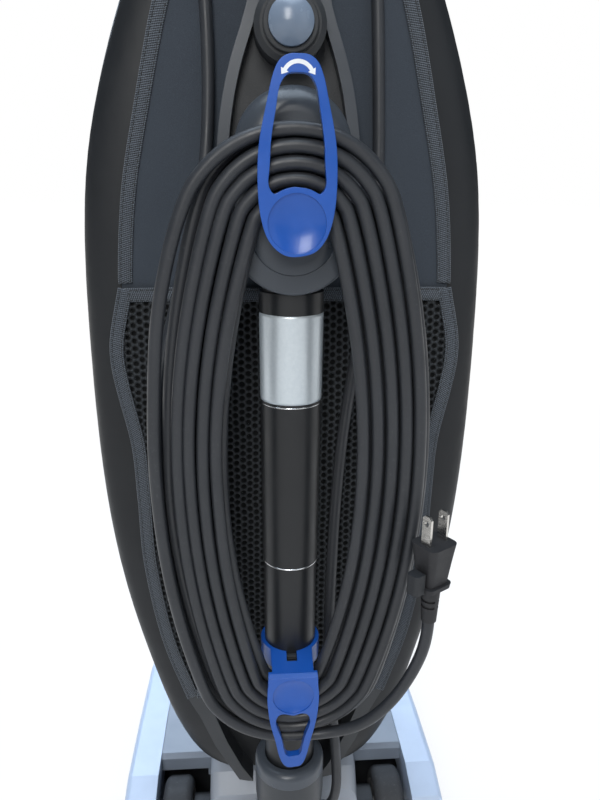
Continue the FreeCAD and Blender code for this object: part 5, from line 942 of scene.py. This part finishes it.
# Bare silver band on the sleeve, thin bright rings at its joints and the arc on the turning hook

LABEL_LOW = 432.8
LABEL_TALL = 50.0
LABEL_CORNER = 4.0
LABEL_REACH = math.radians(94)
LABEL_ROWS = 32
LABEL_COLUMNS = 40      # columns from the middle to each side
RING_STEPS = 96


def sleeve_radius(z):
    """The tapered sleeve's radius at a height, in mm."""
    return 16.8 + 1.2 * (z - 328.0) / 166.5


def foil_band():
    """A brushed silver band with rounded corners, bent round the sleeve's rear."""
    s = Shader("silver_foil")
    brushed = s.noise(520, 4, 0.6)
    s.plug("Base Color", s.mix(brushed, (0.50, 0.56, 0.60, 1), (0.62, 0.67, 0.70, 1)))
    s.plug("Roughness", s.spread(s.noise(40, 4, 0.6), 0.3, 0.7, 0.30, 0.44))
    s.plug("Normal", s.bump(brushed, 0.08, 0.0001))
    s.set(Metallic=0.55, Coat_Weight=0.3, Coat_Roughness=0.2)
    rows = []
    for k in range(LABEL_ROWS + 1):
        share = k / LABEL_ROWS
        z = LABEL_LOW + LABEL_TALL * share
        into = max(0.0, LABEL_CORNER - LABEL_TALL * min(share, 1 - share))
        corner = LABEL_CORNER - math.sqrt(max(0.0, LABEL_CORNER ** 2 - into ** 2))
        reach = LABEL_REACH - corner / sleeve_radius(z)
        radius = sleeve_radius(z) + 0.12
        angles = [reach * i / LABEL_COLUMNS for i in range(-LABEL_COLUMNS, LABEL_COLUMNS + 1)]
        row = [(radius * math.sin(a), -radius * math.cos(a), z) for a in angles]
        inner = [(x * 0.996, n * 0.996, z) for x, n, z in reversed(row)]
        rows.append(row + inner)
    return surface("foil_label", rows, s.material, ring=True, caps="both")


def turned_ring(name, radius, low, profile, material):
    """A thin ring turned round the duct tube from (proud, rise) pairs."""
    rows = []
    for k in range(RING_STEPS + 1):
        a = 2 * math.pi * k / RING_STEPS
        rows.append([((radius + proud) * math.cos(a), (radius + proud) * math.sin(a), low + rise)
                     for proud, rise in profile])
    return surface(name, rows, material, ring=True)


label = foil_band()
ring_metal = metal("ring_metal", (0.78, 0.79, 0.80), rough=0.22, stretch=(1, 1, 60))
for name, radius, low, tall in (("sleeve_ring_low", 16.85, 328.3, 0.9),
                                ("sleeve_ring_mid", sleeve_radius(430.6), 430.6, 0.7)):
    bead = turned_ring(name, radius, low, [(-0.25, 0.0), (0.05, 0.0), (0.2, tall * 0.3), (0.2, tall * 0.7),
                                           (0.05, tall), (-0.25, tall)], ring_metal)


# The sign's height and size in mm, and how far ahead of the tube's axis the hook's rear face lies
HOOK_FACE = -23.5 - 0.6 - 7.0 - 7.6 - 1.2 - 4.6
SIGN_Z = 594.9
SIGN_RADIUS, SIGN_HALF = 6.9, 0.9
SIGN_START, SIGN_END = math.radians(30), math.radians(150)
SIGN_STEPS = 20


def sign_arc(radius):
    """Points along the sign's arc at a radius, as (x, z)."""
    angles = [SIGN_START + (SIGN_END - SIGN_START) * k / SIGN_STEPS for k in range(SIGN_STEPS + 1)]
    return [(radius * math.cos(a), SIGN_Z + radius * math.sin(a)) for a in angles]


def sign_tip(angle, sense):
    """The three corners of an arrow's tip, at an end of the arc and pointing on along it."""
    way = Vector((-math.sin(angle), math.cos(angle))) * sense
    out = Vector((math.cos(angle), math.sin(angle)))
    hub = Vector((0.0, SIGN_Z)) + out * SIGN_RADIUS
    return [tuple(p) for p in (hub + out * 2.0, hub + way * 2.5 + out * 0.4, hub - out * 1.9)]


def arc_sign():
    """A raised white double-ended arrow on the hook's loop, as a sign that it turns."""
    s = Shader("sign_white")
    s.plug("Base Color", s.mix(s.noise(300, 4, 0.7), (0.60, 0.62, 0.64, 1), (0.80, 0.81, 0.82, 1)))
    s.plug("Roughness", s.spread(s.noise(90, 3, 0.6), 0.3, 0.7, 0.35, 0.5))
    shape = sign_arc(SIGN_RADIUS + SIGN_HALF) + sign_tip(SIGN_END, 1)
    shape += sign_arc(SIGN_RADIUS - SIGN_HALF)[::-1] + sign_tip(SIGN_START, -1)[::-1]
    made = bmesh.new()
    outer = [made.verts.new(at(x, HOOK_FACE - 0.12, z)) for x, z in shape]
    sunk = [made.verts.new(at(x, HOOK_FACE + 0.05, z)) for x, z in shape]
    made.faces.new(outer)
    made.faces.new(sunk[::-1])
    for i in range(len(shape)):
        n = (i + 1) % len(shape)
        made.faces.new((outer[i], sunk[i], sunk[n], outer[n]))
    bmesh.ops.recalc_face_normals(made, faces=made.faces)
    bmesh.ops.triangulate(made, faces=[f for f in made.faces if len(f.verts) > 4])
    mesh = bpy.data.meshes.new("turn_sign")
    made.to_mesh(mesh)
    made.free()
    mesh.materials.append(s.material)
    piece = bpy.data.objects.new("turn_sign", mesh)
    bpy.context.scene.collection.objects.link(piece)
    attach(piece, "cable_hook")


arc_sign()


# Stage: a plain floor that is white to the camera but keeps the shadow, soft lamps and a white surround

floor_material = Shader("floor_white")
rays = floor_material.add("LightPath")
reflected = floor_material.math("MAXIMUM", rays.outputs["Is Glossy Ray"], rays.outputs["Is Transmission Ray"])
seen = floor_material.math("MAXIMUM", rays.outputs["Is Camera Ray"], reflected)
floor_material.set(Base_Color=(0.85, 0.85, 0.86, 1), Roughness=0.9)
white = floor_material.add("Emission", Strength=1.02)
reach = floor_material.add("VectorMath", {0: floor_material.where.outputs["Object"]}, operation="LENGTH")
share = floor_material.spread(reach.outputs["Value"], 0.35, 1.5, 0.78, 1.0)
blend_node = floor_material.add("MixShader", {0: floor_material.math("MULTIPLY", seen, share),
                                              1: floor_material.base.outputs[0], 2: white.outputs[0]})
output = [n for n in floor_material.tree.nodes if n.type == "OUTPUT_MATERIAL"][0]
floor_material.tree.links.new(blend_node.outputs[0], output.inputs["Surface"])
bpy.ops.mesh.primitive_plane_add(size=40, location=(0, 0, -0.0005))
floor = bpy.context.object
floor.name = "floor"
floor.data.materials.append(floor_material.material)


def background(tree, colour, strength):
    """A plain light of the world."""
    node = tree.nodes.new("ShaderNodeBackground")
    node.inputs["Color"].default_value = colour
    node.inputs["Strength"].default_value = strength
    return node


world = bpy.data.worlds.new("surround")
bpy.context.scene.world = world
world.use_nodes = True
tree = world.node_tree
tree.nodes.clear()
path = tree.nodes.new("ShaderNodeLightPath")
plain = background(tree, (0.88, 0.94, 1.0, 1), 0.14)
bright = background(tree, (1, 1, 1, 1), 1.0)
choose = tree.nodes.new("ShaderNodeMixShader")
result = tree.nodes.new("ShaderNodeOutputWorld")
either = tree.nodes.new("ShaderNodeMath")
either.operation = "MAXIMUM"
for source, target in ((path.outputs["Is Camera Ray"], either.inputs[0]),
                       (path.outputs["Is Transmission Ray"], either.inputs[1]),
                       (either.outputs[0], choose.inputs[0]), (plain.outputs[0], choose.inputs[1]),
                       (bright.outputs[0], choose.inputs[2]), (choose.outputs[0], result.inputs["Surface"])):
    tree.links.new(source, target)


def lamp(name, place, target, size, power, tint):
    """A soft area lamp aimed at a target, in metres and watts."""
    data = bpy.data.lights.new(name, "AREA")
    data.shape = "RECTANGLE"
    data.size, data.size_y = size
    data.energy = power
    data.color = tint
    light = bpy.data.objects.new(name, data)
    light.location = place
    light.rotation_euler = (Vector(target) - Vector(place)).to_track_quat("-Z", "Y").to_euler()
    bpy.context.scene.collection.objects.link(light)


lamp("key", (0.30, 1.75, 1.45), (0, 0.12, 0.45), (0.6, 1.1), 26, (1.0, 0.99, 0.97))
lamp("sky", (0.1, 0.2, 2.4), (0, 0.1, 0.4), (1.8, 1.4), 42, (0.72, 0.85, 1.0))
lamp("window", (0.2, -1.7, 1.7), (0, 0.1, 0.5), (1.8, 1.1), 44, (0.68, 0.82, 1.0))
lamp("fill", (-1.6, 1.5, 1.2), (0, 0.1, 0.45), (1.0, 1.4), 5, (0.92, 0.96, 1.0))
